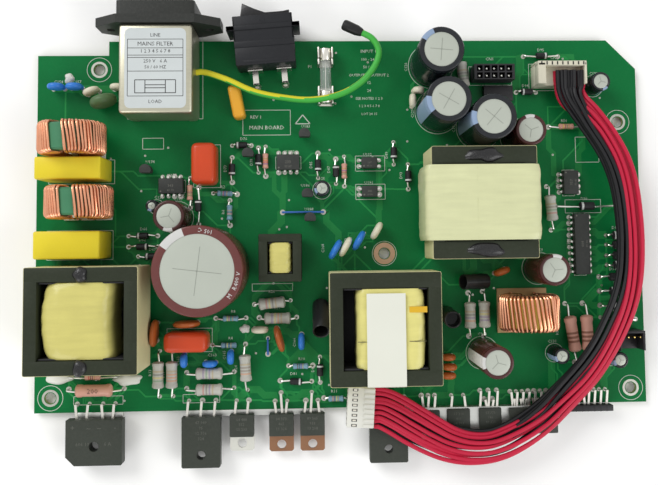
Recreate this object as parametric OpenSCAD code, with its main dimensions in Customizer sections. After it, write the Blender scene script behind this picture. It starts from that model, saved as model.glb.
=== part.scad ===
/* [Board] */
// Board length, left to right
board_w = 254; // [254:1:262]
// Board depth, front to back
board_d = 154; // [154:1:158]
// Laminate thickness
board_t = 1.6; // [1.2:0.2:2.4]
// Mounting hole diameter
mount_hole_d = 4.5; // [3.2:0.1:4.8]

/* [Wound parts] */
// Turns shown on each half of a mains choke
choke_turns = 9; // [5:1:9]
// Turns on the output toroid
toroid_turns = 18; // [10:1:18]
// Copper wire diameter of the chokes
choke_wire_d = 1.4; // [1:0.1:1.4]
// Width of the boost inductor core
boost_core_w = 42.5; // [38:0.5:43]
// Width of the main transformer core
main_core_w = 41; // [38:0.5:41]

/* [Capacitors] */
// Bulk capacitor diameter
bulk_d = 35; // [30:1:35]
// Bulk capacitor height
bulk_h = 30; // [25:1:45]
// Output capacitor height
out_cap_h = 31; // [25:1:35]

/* [Inlet and switch] */
// Filter can height
can_h = 21.5; // [20:0.5:26]
// Rocker swing from one side to the other, in degrees
rocker_swing = 24; // [16:1:26]

/* [Hidden] */
$fn = 32;
eps = 0.02;          // hair gap kept between pieces that only touch
edge_y = board_d - 6;    // the left strip of the board is cut back to here
edge_x = 29.5;
corner_cut = 12.5;   // cut back right corner
hole_in_x = 6.5;     // front mounting holes from the side edges
hole_in_y = 6;       // and from the front edge
hole_tl = [25.5, board_d - 12];
hole_mid = [144.5, 63.5];
hole_tr = [245.5, 118.5];
lead_d = 0.8;
joint_h = 1.2;       // solder joint below the board
joint_d = 2.4;
coat_t = 0.15;       // solder side copper
coat_in = 1;
coat_keep = 12;      // bare ring around a mounting hole

// Everything is drawn from the board's front left corner, z = 0 on its top face
module on_board() {
    translate([-board_w / 2, -hole_in_y, board_t]) children();
}

module at(p, z = 0) {
    translate([p[0], p[1], z]) children();
}

module block(x, y, z) {
    translate([x[0], y[0], z[0]]) cube([x[1] - x[0], y[1] - y[0], z[1] - z[0]]);
}

// A wire along +Y or +X between two points at one height, bent down at both ends
module staple(a, b, h, d = lead_d) {
    run = [b[0] - a[0], b[1] - a[1]];
    len = norm(run);
    translate([a[0], a[1], 0]) rotate([0, 0, atan2(run[1], run[0])]) {
        cylinder(d = d, h = h, $fn = 8);
        translate([len, 0, 0]) cylinder(d = d, h = h, $fn = 8);
        translate([-d / 2, -d / 2, h - d / 2]) cube([len + d, d, d]);
    }
}

// An axial body lying along a line between two leads
module axial_body(a, b, len, d, h) {
    run = [b[0] - a[0], b[1] - a[1]];
    span = norm(run);
    translate([a[0], a[1], h]) rotate([0, 0, atan2(run[1], run[0])])
        translate([(span - len) / 2, 0, 0]) rotate([0, 90, 0]) cylinder(d = d, h = len, $fn = 16);
}

// Leads of the same part, running into both ends of the body
module axial_leads(a, b, len, h, d = lead_d) {
    run = [b[0] - a[0], b[1] - a[1]];
    span = norm(run);
    tail = (span - len) / 2;
    translate([a[0], a[1], 0]) rotate([0, 0, atan2(run[1], run[0])]) {
        cylinder(d = d, h = h + d / 2, $fn = 8);
        translate([0, -d / 2, h - d / 2]) cube([tail, d, d]);
        translate([span, 0, 0]) cylinder(d = d, h = h + d / 2, $fn = 8);
        translate([span - tail, -d / 2, h - d / 2]) cube([tail, d, d]);
    }
}

module board_outline(inset = 0) {
    polygon([
        [inset, inset],
        [board_w - inset, inset],
        [board_w - inset, board_d - corner_cut - inset / 2],
        [board_w - corner_cut - inset / 2, board_d - inset],
        [edge_x + inset, board_d - inset],
        [edge_x + inset, edge_y - inset],
        [inset, edge_y - inset]
    ]);
}

mount_points = [
    [hole_in_x, hole_in_y],
    [board_w - hole_in_x, hole_in_y],
    hole_tl,
    hole_mid,
    hole_tr
];

module board() {
    color([0.06, 0.42, 0.22])
    on_board() translate([0, 0, -board_t]) linear_extrude(board_t) difference() {
        board_outline();
        for (p = mount_points) translate(p) circle(d = mount_hole_d);
    }
}

// ---- mains inlet with its filter can ----
can_x = [38.5, 67.5];
inlet_overhang = 2;  // the can and the switch stand out over the back edge
can_long = 36;
can_y = [board_d + inlet_overhang - can_long, board_d + inlet_overhang];
inlet_cx = 53;
inlet_cz = 11;
flange_half = [25, 12];
flange_t = 3.5;
hump_half = [15.5, 12];
hump_out = 5.5;
ear_half = 5;
inlet_screw_half = 20;
inlet_screw_d = 3.5;
tub_half = [13, 9.4];
cavity_half = [12, 8.4];
cavity_cut = 3;
cavity_deep = 17;
tub_back = 1.5;
blade = [2, 14, 4];
blade_half = 7;
blade_rise = 4;

front_y = can_y[1] + flange_t + hump_out;
tub_y = front_y - cavity_deep - tub_back;

// Lay a shape drawn in x and z against a plane facing the back edge
module facing_back(y, t) {
    translate([inlet_cx, y + t, inlet_cz]) rotate([90, 0, 0]) linear_extrude(t) children();
}

module inlet_can() {
    color([0.62, 0.63, 0.58])
    on_board() difference() {
        block(can_x, can_y, [0, can_h]);
        facing_back(tub_y - eps, can_y[1] - tub_y + 1)
            square([2 * tub_half[0] + 2 * eps, 2 * tub_half[1] + 2 * eps], center = true);
    }
}

module inlet_flange() {
    color([0.1, 0.1, 0.11])
    on_board() difference() {
        union() {
            facing_back(can_y[1], flange_t) difference() {
                polygon([
                    [-flange_half[0], -ear_half], [-hump_half[0], -flange_half[1]],
                    [hump_half[0], -flange_half[1]], [flange_half[0], -ear_half],
                    [flange_half[0], ear_half], [hump_half[0], flange_half[1]],
                    [-hump_half[0], flange_half[1]], [-flange_half[0], ear_half]
                ]);
                for (s = [-1, 1]) translate([s * inlet_screw_half, 0]) circle(d = inlet_screw_d);
            }
            facing_back(can_y[1] + flange_t - eps, hump_out + eps)
                square([2 * hump_half[0], 2 * hump_half[1]], center = true);
            facing_back(tub_y, can_y[1] - tub_y + eps)
                square([2 * tub_half[0], 2 * tub_half[1]], center = true);
        }
        facing_back(tub_y + tub_back, cavity_deep + 1) polygon([
            [-cavity_half[0], cavity_half[1]], [cavity_half[0], cavity_half[1]],
            [cavity_half[0], cavity_cut - cavity_half[1]],
            [cavity_half[0] - cavity_cut, -cavity_half[1]],
            [cavity_cut - cavity_half[0], -cavity_half[1]],
            [-cavity_half[0], cavity_cut - cavity_half[1]]
        ]);
    }
}

module inlet_blades() {
    color([0.78, 0.76, 0.7])
    on_board() translate([inlet_cx, tub_y + tub_back, inlet_cz]) {
        for (s = [-1, 1])
            translate([s * blade_half - blade[0] / 2, 0, -blade[2] / 2 - blade_rise / 2]) cube(blade);
        translate([-blade[0] / 2, 0, blade_rise / 2 - blade[2] / 2]) cube(blade);
    }
}

// ---- rocker switch on the back edge ----
switch_at = [95, board_d + inlet_overhang + 0.2];
switch_turn = 4.5;
switch_half = 12.2;
switch_deep = 15;
switch_h = 14;
sw_flange_half = 15;
sw_flange_t = 2;
sw_flange_drop = 0.5;
bezel_out = 4.5;
well_half = 11.4;
well_deep = 6;
well_z = [1.7, 12.4];
pivot_out = 1;
rocker_half = 9.8;
rocker_tip = 8.5;
rocker_mid = 5.5;
rocker_foot = 2.5;
rocker_gap = 0.2;
pivot_r = 1.5;
pivot_gap = 0.06;
pivot_long = 0.8;
sw_term_x = [-5, 7];
sw_term = [6.2, 0.8, 6];
sw_stem = [2.4, 6, 0.8];

module on_switch() {
    on_board() translate([switch_at[0], switch_at[1], 0]) rotate([0, 0, switch_turn]) children();
}

module switch_housing() {
    color([0.09, 0.09, 0.1])
    on_switch() difference() {
        union() {
            block([-switch_half, switch_half], [-switch_deep, 0], [0, switch_h]);
            block([-sw_flange_half, sw_flange_half], [-sw_flange_t / 4, 3 * sw_flange_t / 4],
                [-sw_flange_drop, switch_h + sw_flange_drop]);
            block([-switch_half, switch_half], [0, pivot_out + bezel_out], [0, switch_h]);
        }
        block([-well_half, well_half], [-well_deep, pivot_out + bezel_out + 1], well_z);
        translate([0, pivot_out, well_z[0] - pivot_long - pivot_gap])
            cylinder(r = pivot_r + pivot_gap, h = well_z[1] - well_z[0] + 2 * pivot_long + 2 * pivot_gap);
    }
}

module switch_rocker() {
    color([0.07, 0.07, 0.08])
    on_switch() translate([0, pivot_out, 0]) rotate([0, 0, -rocker_swing / 2]) {
        translate([0, 0, well_z[0] + rocker_gap]) linear_extrude(well_z[1] - well_z[0] - 2 * rocker_gap)
            polygon([
                [-rocker_half, rocker_tip], [0, rocker_mid], [rocker_half, rocker_tip],
                [rocker_half, rocker_foot], [rocker_half / 3, -rocker_foot],
                [-rocker_half / 3, -rocker_foot], [-rocker_half, rocker_foot]
            ]);
        translate([0, 0, well_z[0] - pivot_long])
            cylinder(r = pivot_r, h = well_z[1] - well_z[0] + 2 * pivot_long);
    }
}

module switch_terminals() {
    color([0.75, 0.72, 0.6])
    on_switch() for (x = sw_term_x) translate([x, -switch_deep, 0]) {
        translate([-sw_term[0] / 2, -sw_term[1], 0]) cube(sw_term);
        translate([-sw_stem[0] / 2, -sw_term[1] - sw_stem[1], sw_term[2] - sw_stem[2]])
            cube([sw_stem[0], sw_stem[1] + eps, sw_stem[2]]);
        translate([-sw_stem[0] / 2, -sw_term[1] - sw_stem[1], 0])
            cube([sw_stem[0], sw_stem[2], sw_term[2]]);
    }
}

// ---- fuse in two clips ----
fuse_x = 120.5;
fuse_y = [board_d - 27.5, board_d - 4.5];
fuse_z = 4;
fuse_d = 5;
clip_w = 6.5;
clip_l = 7.5;
clip_t = 0.5;
clip_h = 7;
cap_l = 5;
clip_past = 0.5;     // a clip reaches this far past the fuse's end
glass_under = 0.4;   // the glass is this much thinner than its caps

module fuse_metal() {
    color([0.78, 0.77, 0.7])
    on_board() {
        for (y = [fuse_y[0] - clip_past, fuse_y[1] - clip_l + clip_past]) translate([fuse_x, y, 0]) {
            translate([-clip_w / 2, 0, 0]) cube([clip_w, clip_l, clip_t]);
            for (s = [0, 1]) mirror([s, 0, 0])
                translate([fuse_d / 2 + eps, 0, 0])
                    cube([clip_w / 2 - fuse_d / 2 - eps, clip_l, clip_h]);
        }
        for (y = [fuse_y[0], fuse_y[1] - cap_l]) translate([fuse_x, y, fuse_z])
            rotate([-90, 0, 0]) cylinder(d = fuse_d, h = cap_l);
    }
}

module fuse_tube() {
    color([0.85, 0.88, 0.86])
    on_board() translate([fuse_x, fuse_y[0] + cap_l, fuse_z]) rotate([-90, 0, 0])
        cylinder(d = fuse_d - glass_under, h = fuse_y[1] - fuse_y[0] - 2 * cap_l);
}

// ---- wound rings: mains chokes and the output toroid, standing with the axis along Y ----
wire_gap = 0.1;      // enamel and lacquer between a turn and its core
core_bevel = 1;      // broken edges of a ring core
ring_base_t = 1;

mains_choke_at = [[18.5, 111], [21.5, 85.5]];
mains_core_r = [6.5, 12];
mains_core_w = 10.5;
mains_arc = 70;      // each half winding spans this much either side of level
mains_base = [20, 13.5];
separator_t = 1.4;
separator_long = mains_core_w + 2;
separator_half = sqrt(pow(mains_core_r[0], 2) - pow(separator_t / 2, 2)) - eps;
mains_z = ring_base_t + (mains_core_r[1] + choke_wire_d + wire_gap) * sin(mains_arc)
    + choke_wire_d / 2 * cos(mains_arc) + wire_gap;

toroid_at = [202, 39];
toroid_core_r = [5.5, 10.8];
toroid_core_w = 12;
toroid_arc = 150;
toroid_base = [21, 18.5];
toroid_z = ring_base_t + toroid_core_r[1] + wire_gap;

module ring_core(c, z, r, w) {
    translate([c[0], c[1] + w / 2, z]) rotate([90, 0, 0]) rotate_extrude($fn = 64) polygon([
        [r[0], core_bevel], [r[0] + core_bevel, 0], [r[1] - core_bevel, 0], [r[1], core_bevel],
        [r[1], w - core_bevel], [r[1] - core_bevel, w], [r[0] + core_bevel, w], [r[0], w - core_bevel]
    ]);
}

// One turn of wire round the core's section, drawn at angle a from level
turn_sides = 6;

module turn(r, w, d, a) {
    out = d / 2 + wire_gap;
    lo = r[0] - out;
    hi = r[1] + out;
    half = w / 2 + out;
    bend = core_bevel + (2 - sqrt(2)) * out;
    path = [
        [hi, half - bend], [hi - bend, half], [lo + bend, half], [lo, half - bend],
        [lo, bend - half], [lo + bend, -half], [hi - bend, -half], [hi, bend - half]
    ];
    miter = d / 2 / cos(22.5);
    pts = [for (i = [0 : 7]) for (k = [0 : turn_sides - 1])
        let(n = 22.5 + 45 * i, f = 360 * k / turn_sides)
        [
            path[i][0] + miter * cos(f) * cos(n),
            path[i][1] + miter * cos(f) * sin(n),
            d / 2 * sin(f)
        ]];
    faces = [for (i = [0 : 7]) for (k = [0 : turn_sides - 1])
        let(j = (i + 1) % 8, k2 = (k + 1) % turn_sides)
        [i * turn_sides + k, j * turn_sides + k, j * turn_sides + k2, i * turn_sides + k2]];
    rotate([0, -a, 0]) polyhedron(points = pts, faces = faces);
}

module choke_cores() {
    color([0.22, 0.5, 0.3])
    on_board() for (c = mains_choke_at) ring_core(c, mains_z, mains_core_r, mains_core_w);
}

module choke_windings() {
    color([0.82, 0.5, 0.3])
    on_board() for (c = mains_choke_at) translate([c[0], c[1], mains_z])
        for (side = [0, 180]) for (i = [0 : choke_turns - 1])
            turn(mains_core_r, mains_core_w, choke_wire_d,
                side - mains_arc + 2 * mains_arc * i / (choke_turns - 1));
}

module choke_bases() {
    color([0.9, 0.9, 0.86])
    on_board() for (c = mains_choke_at) {
        translate([c[0] - mains_base[0] / 2, c[1] - mains_base[1] / 2, 0])
            cube([mains_base[0], mains_base[1], ring_base_t]);
        translate([c[0] - separator_t / 2, c[1] - separator_long / 2, mains_z - separator_half])
            cube([separator_t, separator_long, 2 * separator_half]);
    }
}

module toroid_core() {
    color([0.86, 0.8, 0.3])
    on_board() ring_core(toroid_at, toroid_z, toroid_core_r, toroid_core_w);
}

module toroid_winding() {
    color([0.85, 0.52, 0.3])
    on_board() translate([toroid_at[0], toroid_at[1], toroid_z])
        for (i = [0 : toroid_turns - 1])
            turn(toroid_core_r, toroid_core_w, choke_wire_d,
                90 - toroid_arc + 2 * toroid_arc * i / (toroid_turns - 1));
}

module toroid_base_plate() {
    color([0.85, 0.66, 0.42])
    on_board() translate([toroid_at[0] - toroid_base[0] / 2, toroid_at[1] - toroid_base[1] / 2, 0])
        cube([toroid_base[0], toroid_base[1], ring_base_t]);
}

// ---- transformers and inductor: ferrite frame lying flat, winding on its middle leg ----
base_h = 5;          // pinned bobbin foot under the ferrite
coil_gap = 0.15;
coil_cut = 3;        // bevel of the taped winding's long edges

// place = [left, front], size = [wide, deep, top], bars = [side leg, yoke], leg = middle leg
boost_at = [5.5, 19.5];
boost_size = [boost_core_w, 40.5, 30];
boost_bars = [5, 5.5];
boost_leg = 12;
main_at = [161, 61.5];
main_size = [main_core_w, 43.5, 30];
main_bars = [4.5, 6.8];
main_leg = 13;
main_tape_over = [3, 1.2];   // tape past the side legs and above the ferrite
mid_size = [43, 43.5, 28];
mid_centre_x = 142.5;
mid_front = 13;
mid_at = [mid_centre_x - mid_size[0] / 2, mid_front];
mid_bars = [5, 6];
mid_leg = 12;
paper_w = 15;
paper_t = 0.3;
paper_fold = 9;      // how far the strip hangs down in front
small_at = [93, 53];
small_size = [17, 19, 18];
small_bars = [3.5, 3.2];
small_leg = 5;
small_base_h = 3;

module ferrite(p, s, bars, leg, foot = base_h) {
    mid_z = (foot + s[2]) / 2;
    on_board() difference() {
        block([p[0], p[0] + s[0]], [p[1], p[1] + s[1]], [foot, s[2]]);
        difference() {
            block([p[0] + bars[0], p[0] + s[0] - bars[0]],
                [p[1] + bars[1], p[1] + s[1] - bars[1]], [foot - 1, s[2] + 1]);
            block([p[0] + s[0] / 2 - leg / 2, p[0] + s[0] / 2 + leg / 2],
                [p[1], p[1] + s[1]], [mid_z - leg / 2, mid_z + leg / 2]);
        }
    }
}

// Taped winding between the yokes, bevelled along its length, with the middle leg's way through
module coil(p, s, bars, leg, rise, over = 0, foot = base_h) {
    mid_z = (foot + s[2]) / 2;
    half = s[0] / 2 - bars[0] - coil_gap + over;
    long = s[1] - 2 * bars[1] - 2 * coil_gap;
    top = s[2] + rise;
    translate([p[0] + s[0] / 2, p[1] + bars[1] + coil_gap + long, 0])
        rotate([90, 0, 0]) linear_extrude(long) difference() {
            polygon([
                [-half, foot + coil_gap], [half, foot + coil_gap],
                [half, top - coil_cut], [half - coil_cut, top],
                [coil_cut - half, top], [-half, top - coil_cut]
            ]);
            translate([-leg / 2 - coil_gap, mid_z - leg / 2 - coil_gap])
                square([leg + 2 * coil_gap, leg + 2 * coil_gap]);
        }
}

foot_in = [1.5, 1];  // the foot stands in from the ferrite at the sides and at the ends

module bobbin_foot(p, s, foot = base_h) {
    on_board() block([p[0] + foot_in[0], p[0] + s[0] - foot_in[0]],
        [p[1] + foot_in[1], p[1] + s[1] - foot_in[1]], [0, foot]);
}

module ferrite_cores() {
    color([0.2, 0.22, 0.18]) {
        ferrite(boost_at, boost_size, boost_bars, boost_leg);
        ferrite(main_at, main_size, main_bars, main_leg);
        ferrite(mid_at, mid_size, mid_bars, mid_leg);
        ferrite(small_at, small_size, small_bars, small_leg, small_base_h);
    }
}

module bobbin_feet() {
    color([0.12, 0.12, 0.12]) {
        bobbin_foot(boost_at, boost_size);
        bobbin_foot(main_at, main_size);
        bobbin_foot(mid_at, mid_size);
        bobbin_foot(small_at, small_size, small_base_h);
    }
}

module boost_winding() {
    color([0.88, 0.86, 0.5])
    on_board() coil(boost_at, boost_size, boost_bars, boost_leg, -1);
}

module main_winding() {
    color([0.9, 0.9, 0.62])
    on_board() difference() {
        coil(main_at, main_size, main_bars, main_leg, main_tape_over[1],
            main_bars[0] + main_tape_over[0]);
        for (x = [main_at[0] - coil_gap, main_at[0] + main_size[0] - main_bars[0] - coil_gap])
            translate([x, main_at[1], base_h - 1])
                cube([main_bars[0] + 2 * coil_gap, main_size[1], main_size[2] - base_h + 1 + coil_gap]);
    }
}

module mid_winding() {
    color([0.88, 0.86, 0.45])
    on_board() coil(mid_at, mid_size, mid_bars, mid_leg, 0);
}

// Paper strip lying on the winding and folded over the front yoke
module paper_strip() {
    color([0.95, 0.95, 0.92])
    on_board() {
        x = mid_at[0] + mid_size[0] / 2 - paper_w / 2;
        y = mid_at[1] - paper_t - eps;
        translate([x, y, mid_size[2] + eps]) cube([paper_w, mid_size[1] - mid_bars[1], paper_t]);
        translate([x, y, mid_size[2] - paper_fold])
            cube([paper_w, paper_t, paper_fold + eps + paper_t / 2]);
    }
}

module small_winding() {
    color([0.88, 0.86, 0.5])
    on_board() coil(small_at, small_size, small_bars, small_leg, 0, 0, small_base_h);
}

// ---- capacitors ----
// Electrolytic cans: [left to right, front to back, diameter, height]
bulk_at = [70.5, 58];
black_cans = [
    [165.5, 143, 18, out_cap_h],
    [168, 123.5, 18, out_cap_h],
    [185.5, 116.5, 18, out_cap_h],
    [235, 134, 8, 11.5],
    [118.5, 90.5, 6.5, 11],
    [49.5, 84, 5, 11],
    [215.5, 21, 6.5, 11.5],
    [239.5, 19, 6.5, 11.5]
];
brown_cans = [
    [201.5, 112, 12.5, 25],
    [209.5, 56.5, 12.5, 25],
    [185, 21.5, 12.5, 30],
    [58, 79.5, 12.5, 20]
];
sleeve_t = 0.4;
crimp_drop = 2.5;
crimp_deep = 0.6;
lip_w = 1;

module can_sleeve(d, h) {
    difference() {
        union() {
            cylinder(d = d, h = h - crimp_drop - crimp_deep);
            translate([0, 0, h - crimp_drop - 2 * crimp_deep])
                cylinder(d = d - 2 * crimp_deep, h = 2 * crimp_deep + eps);
            translate([0, 0, h - crimp_drop]) cylinder(d = d, h = crimp_drop);
        }
        translate([0, 0, h - sleeve_t]) cylinder(d = d - 2 * lip_w, h = 1);
    }
}

module can_end(d, h) {
    translate([0, 0, h - sleeve_t]) cylinder(d = d - 2 * lip_w - 2 * eps, h = sleeve_t - eps);
}

module bulk_capacitor() {
    color([0.42, 0.2, 0.18])
    on_board() at(bulk_at) can_sleeve(bulk_d, bulk_h);
}

module black_capacitors() {
    color([0.1, 0.12, 0.15])
    on_board() for (c = black_cans) at(c) can_sleeve(c[2], c[3]);
}

module brown_capacitors() {
    color([0.38, 0.2, 0.18])
    on_board() for (c = brown_cans) at(c) can_sleeve(c[2], c[3]);
}

module capacitor_ends() {
    color([0.8, 0.82, 0.8])
    on_board() {
        at(bulk_at) can_end(bulk_d, bulk_h);
        for (c = concat(black_cans, brown_cans)) at(c) can_end(c[2], c[3]);
    }
}

// Box film capacitors: [left, front, wide, deep, high]
x_caps = [[5, 94.5, 26, 9, 18.5], [5, 63, 26, 11, 19]];
film_caps = [[65.5, 92.5, 10, 17, 13], [54.5, 25, 17.5, 8, 13]];

module box_cap(c, lift = 0) {
    translate([c[0], c[1], lift]) cube([c[2], c[3], c[4] - lift]);
}

module x_capacitors() {
    color([0.9, 0.82, 0.2])
    on_board() for (c = x_caps) box_cap(c);
}

module film_capacitors() {
    color([0.8, 0.3, 0.16])
    on_board() for (c = film_caps) box_cap(c);
}

// The yellow one leans along a line: [left to right, front to back], long, thick, high
yellow_film_at = [83.5, 127];
yellow_film = [5, 14, 9];
yellow_film_turn = 11;

module yellow_film_capacitor() {
    color([0.88, 0.65, 0.18])
    on_board() translate([yellow_film_at[0], yellow_film_at[1], 0]) rotate([0, 0, yellow_film_turn])
        translate([-yellow_film[0] / 2, -yellow_film[1] / 2, 0]) cube(yellow_film);
}

// Disc capacitors standing on edge: [left to right, front to back, diameter, turn about Z]
blue_discs = [
    [9, 134, 7, 0], [16.5, 134, 7, 0], [123.8, 65.5, 9, 60], [133.5, 69, 9, 60],
    [61.5, 21, 6, 90], [72, 19.5, 6, 0], [80.5, 22, 6, 90], [109.5, 28, 7, 90]
];
cream_discs = [
    [23.5, 132, 7, 20], [34, 133.8, 6, 0], [128, 66.5, 9, 60], [141, 73, 8, 60],
    [157, 127.5, 6, 90], [159.5, 132, 5, 0], [92.5, 33, 7, 0]
];
brown_discs = [
    [50, 32.5, 11, 85], [63, 36, 11, 2], [100.5, 29.5, 11, 105],
    [170, 20.5, 6, 0], [170.5, 16.5, 6, 0], [170, 13, 6, 0], [193, 55.5, 7, 20]
];
disc_t = 2.8;
disc_lift = 1.5;
thermistor_disc = [29, 127.5, 11, 15];
thermistor_t = 5;

// The disc and, under it, the coated neck of its leads
module disc_cap(c, t = disc_t) {
    translate([c[0], c[1], 0]) rotate([0, 0, c[3]]) {
        translate([0, t / 2, disc_lift + c[2] / 2]) rotate([90, 0, 0]) cylinder(d = c[2], h = t);
        for (s = [-1, 1]) translate([s * c[2] / 3, 0, 0])
            cylinder(d = lead_d, h = disc_lift + c[2] / 4, $fn = 8);
    }
}

module blue_disc_capacitors() {
    color([0.2, 0.48, 0.82])
    on_board() for (c = blue_discs) disc_cap(c);
}

module cream_disc_capacitors() {
    color([0.92, 0.9, 0.8])
    on_board() for (c = cream_discs) disc_cap(c);
}

module brown_disc_capacitors() {
    color([0.68, 0.34, 0.16])
    on_board() for (c = brown_discs) disc_cap(c);
}

module inrush_thermistor() {
    color([0.32, 0.44, 0.28])
    on_board() disc_cap(thermistor_disc, thermistor_t);
}

// ---- axial parts, [lead a, lead b] ----
big_grey = [
    [[90, 43], [105, 44.5]], [[92, 37.5], [107.5, 37.5]], [[179.5, 46.5], [179.5, 28.5]],
    [[185.5, 47], [185.5, 28.5]], [[214, 91], [215.5, 72.5]], [[62, 15.5], [81.5, 15.5]],
    [[62, 9], [81.5, 9]], [[51, 24.5], [51, 6]], [[56.5, 24.5], [56.5, 6]],
    [[86, 27], [87, 8]], [[177.5, 147], [179.5, 130]]
];
big_grey_size = [11, 4.8];
axial_h = 4;
big_pink = [
    [[220.5, 41.5], [224, 17]], [[228, 41.5], [229, 17.5]], [[14, 9.5], [36.5, 9.5]]
];
big_pink_size = [15, 5.2];
small_axials = [
    [[63.5, 96], [63.5, 83.5]], [[95, 109], [95, 96.5]], [[128, 104.5], [128, 92]],
    [[14, 14.5], [34, 14.5]], [[215.5, 116.5], [230, 116.5]]
];
blue_axials = [
    [[73, 89.5], [83, 89]], [[80, 86.5], [80, 76]], [[74, 37.5], [86.5, 37.5]],
    [[72.5, 26.5], [86.5, 26.5]], [[118.5, 4], [128.5, 4]], [[104, 17.5], [114, 17.5]]
];
small_axial_size = [6.5, 2.4];
small_axial_h = 1.6;

module axials(list, size, h) {
    for (a = list) axial_body(a[0], a[1], size[0], size[1], h);
}

module axial_wires(list, size, h) {
    for (a = list) axial_leads(a[0], a[1], size[0] + eps, h);
}

module grey_resistors() {
    color([0.7, 0.7, 0.7])
    on_board() axials(big_grey, big_grey_size, axial_h);
}

module pink_resistors() {
    color([0.88, 0.56, 0.46])
    on_board() {
        axials(big_pink, big_pink_size, axial_h);
        axials(small_axials, small_axial_size, small_axial_h);
    }
}

module blue_resistors() {
    color([0.45, 0.6, 0.72])
    on_board() axials(blue_axials, small_axial_size, small_axial_h);
}

diodes = [
    [[67, 92], [67, 76.5]], [[38, 72], [50, 72]], [[38, 67.5], [50, 67.5]], [[42, 63.5], [53, 63.5]],
    [[117, 106], [117, 95.5]], [[124.5, 103.5], [124.5, 93]], [[92, 108.5], [92, 98]],
    [[81, 104.5], [81, 94]], [[155, 101], [155, 90.5]], [[149, 110.5], [149, 101]],
    [[205.5, 147], [220.5, 147]], [[202, 131.5], [210.5, 131.5]], [[100.5, 11.5], [113.5, 11]],
    [[117, 21], [117, 10.5]], [[81, 109.5], [89, 109.5]]
];
diode_size = [5, 2.7];
big_diodes = [
    [[239, 70], [249.5, 70]], [[239, 66], [249.5, 66]], [[239, 61.5], [249.5, 61.5]],
    [[239, 57.5], [249.5, 57.5]], [[235.5, 52.5], [249, 52.5]], [[235.5, 46.5], [249, 46.5]],
    [[235.5, 40.5], [250.5, 40.5]], [[235.5, 35.5], [250.5, 34.5]], [[217.5, 82.5], [243.5, 82.5]]
];
big_diode_size = [6.5, 3.4];
big_diode_h = 2;

module diode_bodies() {
    color([0.12, 0.12, 0.13])
    on_board() {
        axials(diodes, diode_size, small_axial_h);
        axials(big_diodes, big_diode_size, big_diode_h);
    }
}

module axial_lead_wires() {
    color([0.78, 0.78, 0.76])
    on_board() {
        axial_wires(big_grey, big_grey_size, axial_h);
        axial_wires(big_pink, big_pink_size, axial_h);
        axial_wires(small_axials, small_axial_size, small_axial_h);
        axial_wires(blue_axials, small_axial_size, small_axial_h);
        axial_wires(diodes, diode_size, small_axial_h);
        axial_wires(big_diodes, big_diode_size, big_diode_h);
    }
}

// ---- integrated circuits: [centre x, centre y, wide, deep, high] ----
ic_bodies = [
    [56, 92.5, 10, 6.3, 4.4], [104.5, 102, 9.5, 6.4, 4.4], [223.5, 92.5, 6.3, 10, 4.4],
    [227.5, 66.5, 6.3, 25.5, 4.4], [138.5, 101.5, 6.5, 4.6, 4.4], [138.5, 89.5, 6.5, 4.6, 4.4]
];
// Pin rows beside them: [first x, first y, step x, step y, pins, other row dx, dy]
ic_rows = [
    [52, 88.4, 2.5, 0, 4, 0, 8.2], [100.5, 98, 2.5, 0, 4, 0, 8.2],
    [219.4, 88.5, 0, 2.5, 4, 8.2, 0], [223.3, 55, 0, 2.54, 10, 8.2, 0],
    [134.2, 100.3, 0, 2.5, 2, 8.6, 0], [134.2, 88.3, 0, 2.5, 2, 8.6, 0]
];
ic_lift = 0.5;
pin_w = 0.6;
pin_z = 2.4;
package_w = 6.6;     // widest moulded body between its pin rows
// Small transistors: [x, y, turn], flat side and round side
transistors = [
    [46, 99, 0], [88, 105.5, 0], [111.5, 113.5, 0], [112.5, 88.5, 0], [113.5, 78.5, 0]
];
transistor_d = 4.8;
transistor_z = [2, 7];
transistor_pitch = 1.4;

module moulded_packages() {
    color([0.1, 0.1, 0.11])
    on_board() {
        for (c = ic_bodies) translate([c[0] - c[2] / 2, c[1] - c[3] / 2, ic_lift])
            cube([c[2], c[3], c[4] - ic_lift]);
        for (t = transistors) translate([t[0], t[1], transistor_z[0]]) intersection() {
            cylinder(d = transistor_d, h = transistor_z[1] - transistor_z[0]);
            translate([-transistor_d / 2, -transistor_d / 4, -1])
                cube([transistor_d, transistor_d, transistor_z[1]]);
        }
    }
}

// Bent pins: a foot going down and a shoulder running in to the body
module package_pins() {
    color([0.8, 0.8, 0.78])
    on_board() {
        for (r = ic_rows) for (i = [0 : r[4] - 1]) for (far = [0, 1]) {
            in = far == 1 ? -1 : 1;
            x = r[0] + i * r[2] + far * r[5];
            y = r[1] + i * r[3] + far * r[6];
            reach = (norm([r[5], r[6]]) - package_w) / 2 - eps;
            along_x = r[5] > 0;
            translate([x - pin_w / 2, y - pin_w / 2, 0]) cube([pin_w, pin_w, pin_z]);
            translate([
                along_x ? (in > 0 ? x : x - reach) : x - pin_w / 2,
                along_x ? y - pin_w / 2 : (in > 0 ? y : y - reach),
                pin_z - pin_w / 2
            ]) cube([along_x ? reach : pin_w, along_x ? pin_w : reach, pin_w / 2]);
        }
        for (t = transistors) for (s = [-1, 0, 1]) translate([t[0] + s * transistor_pitch, t[1], 0])
            cylinder(d = pin_w, h = transistor_z[0] - eps / 2, $fn = 8);
    }
}

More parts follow.
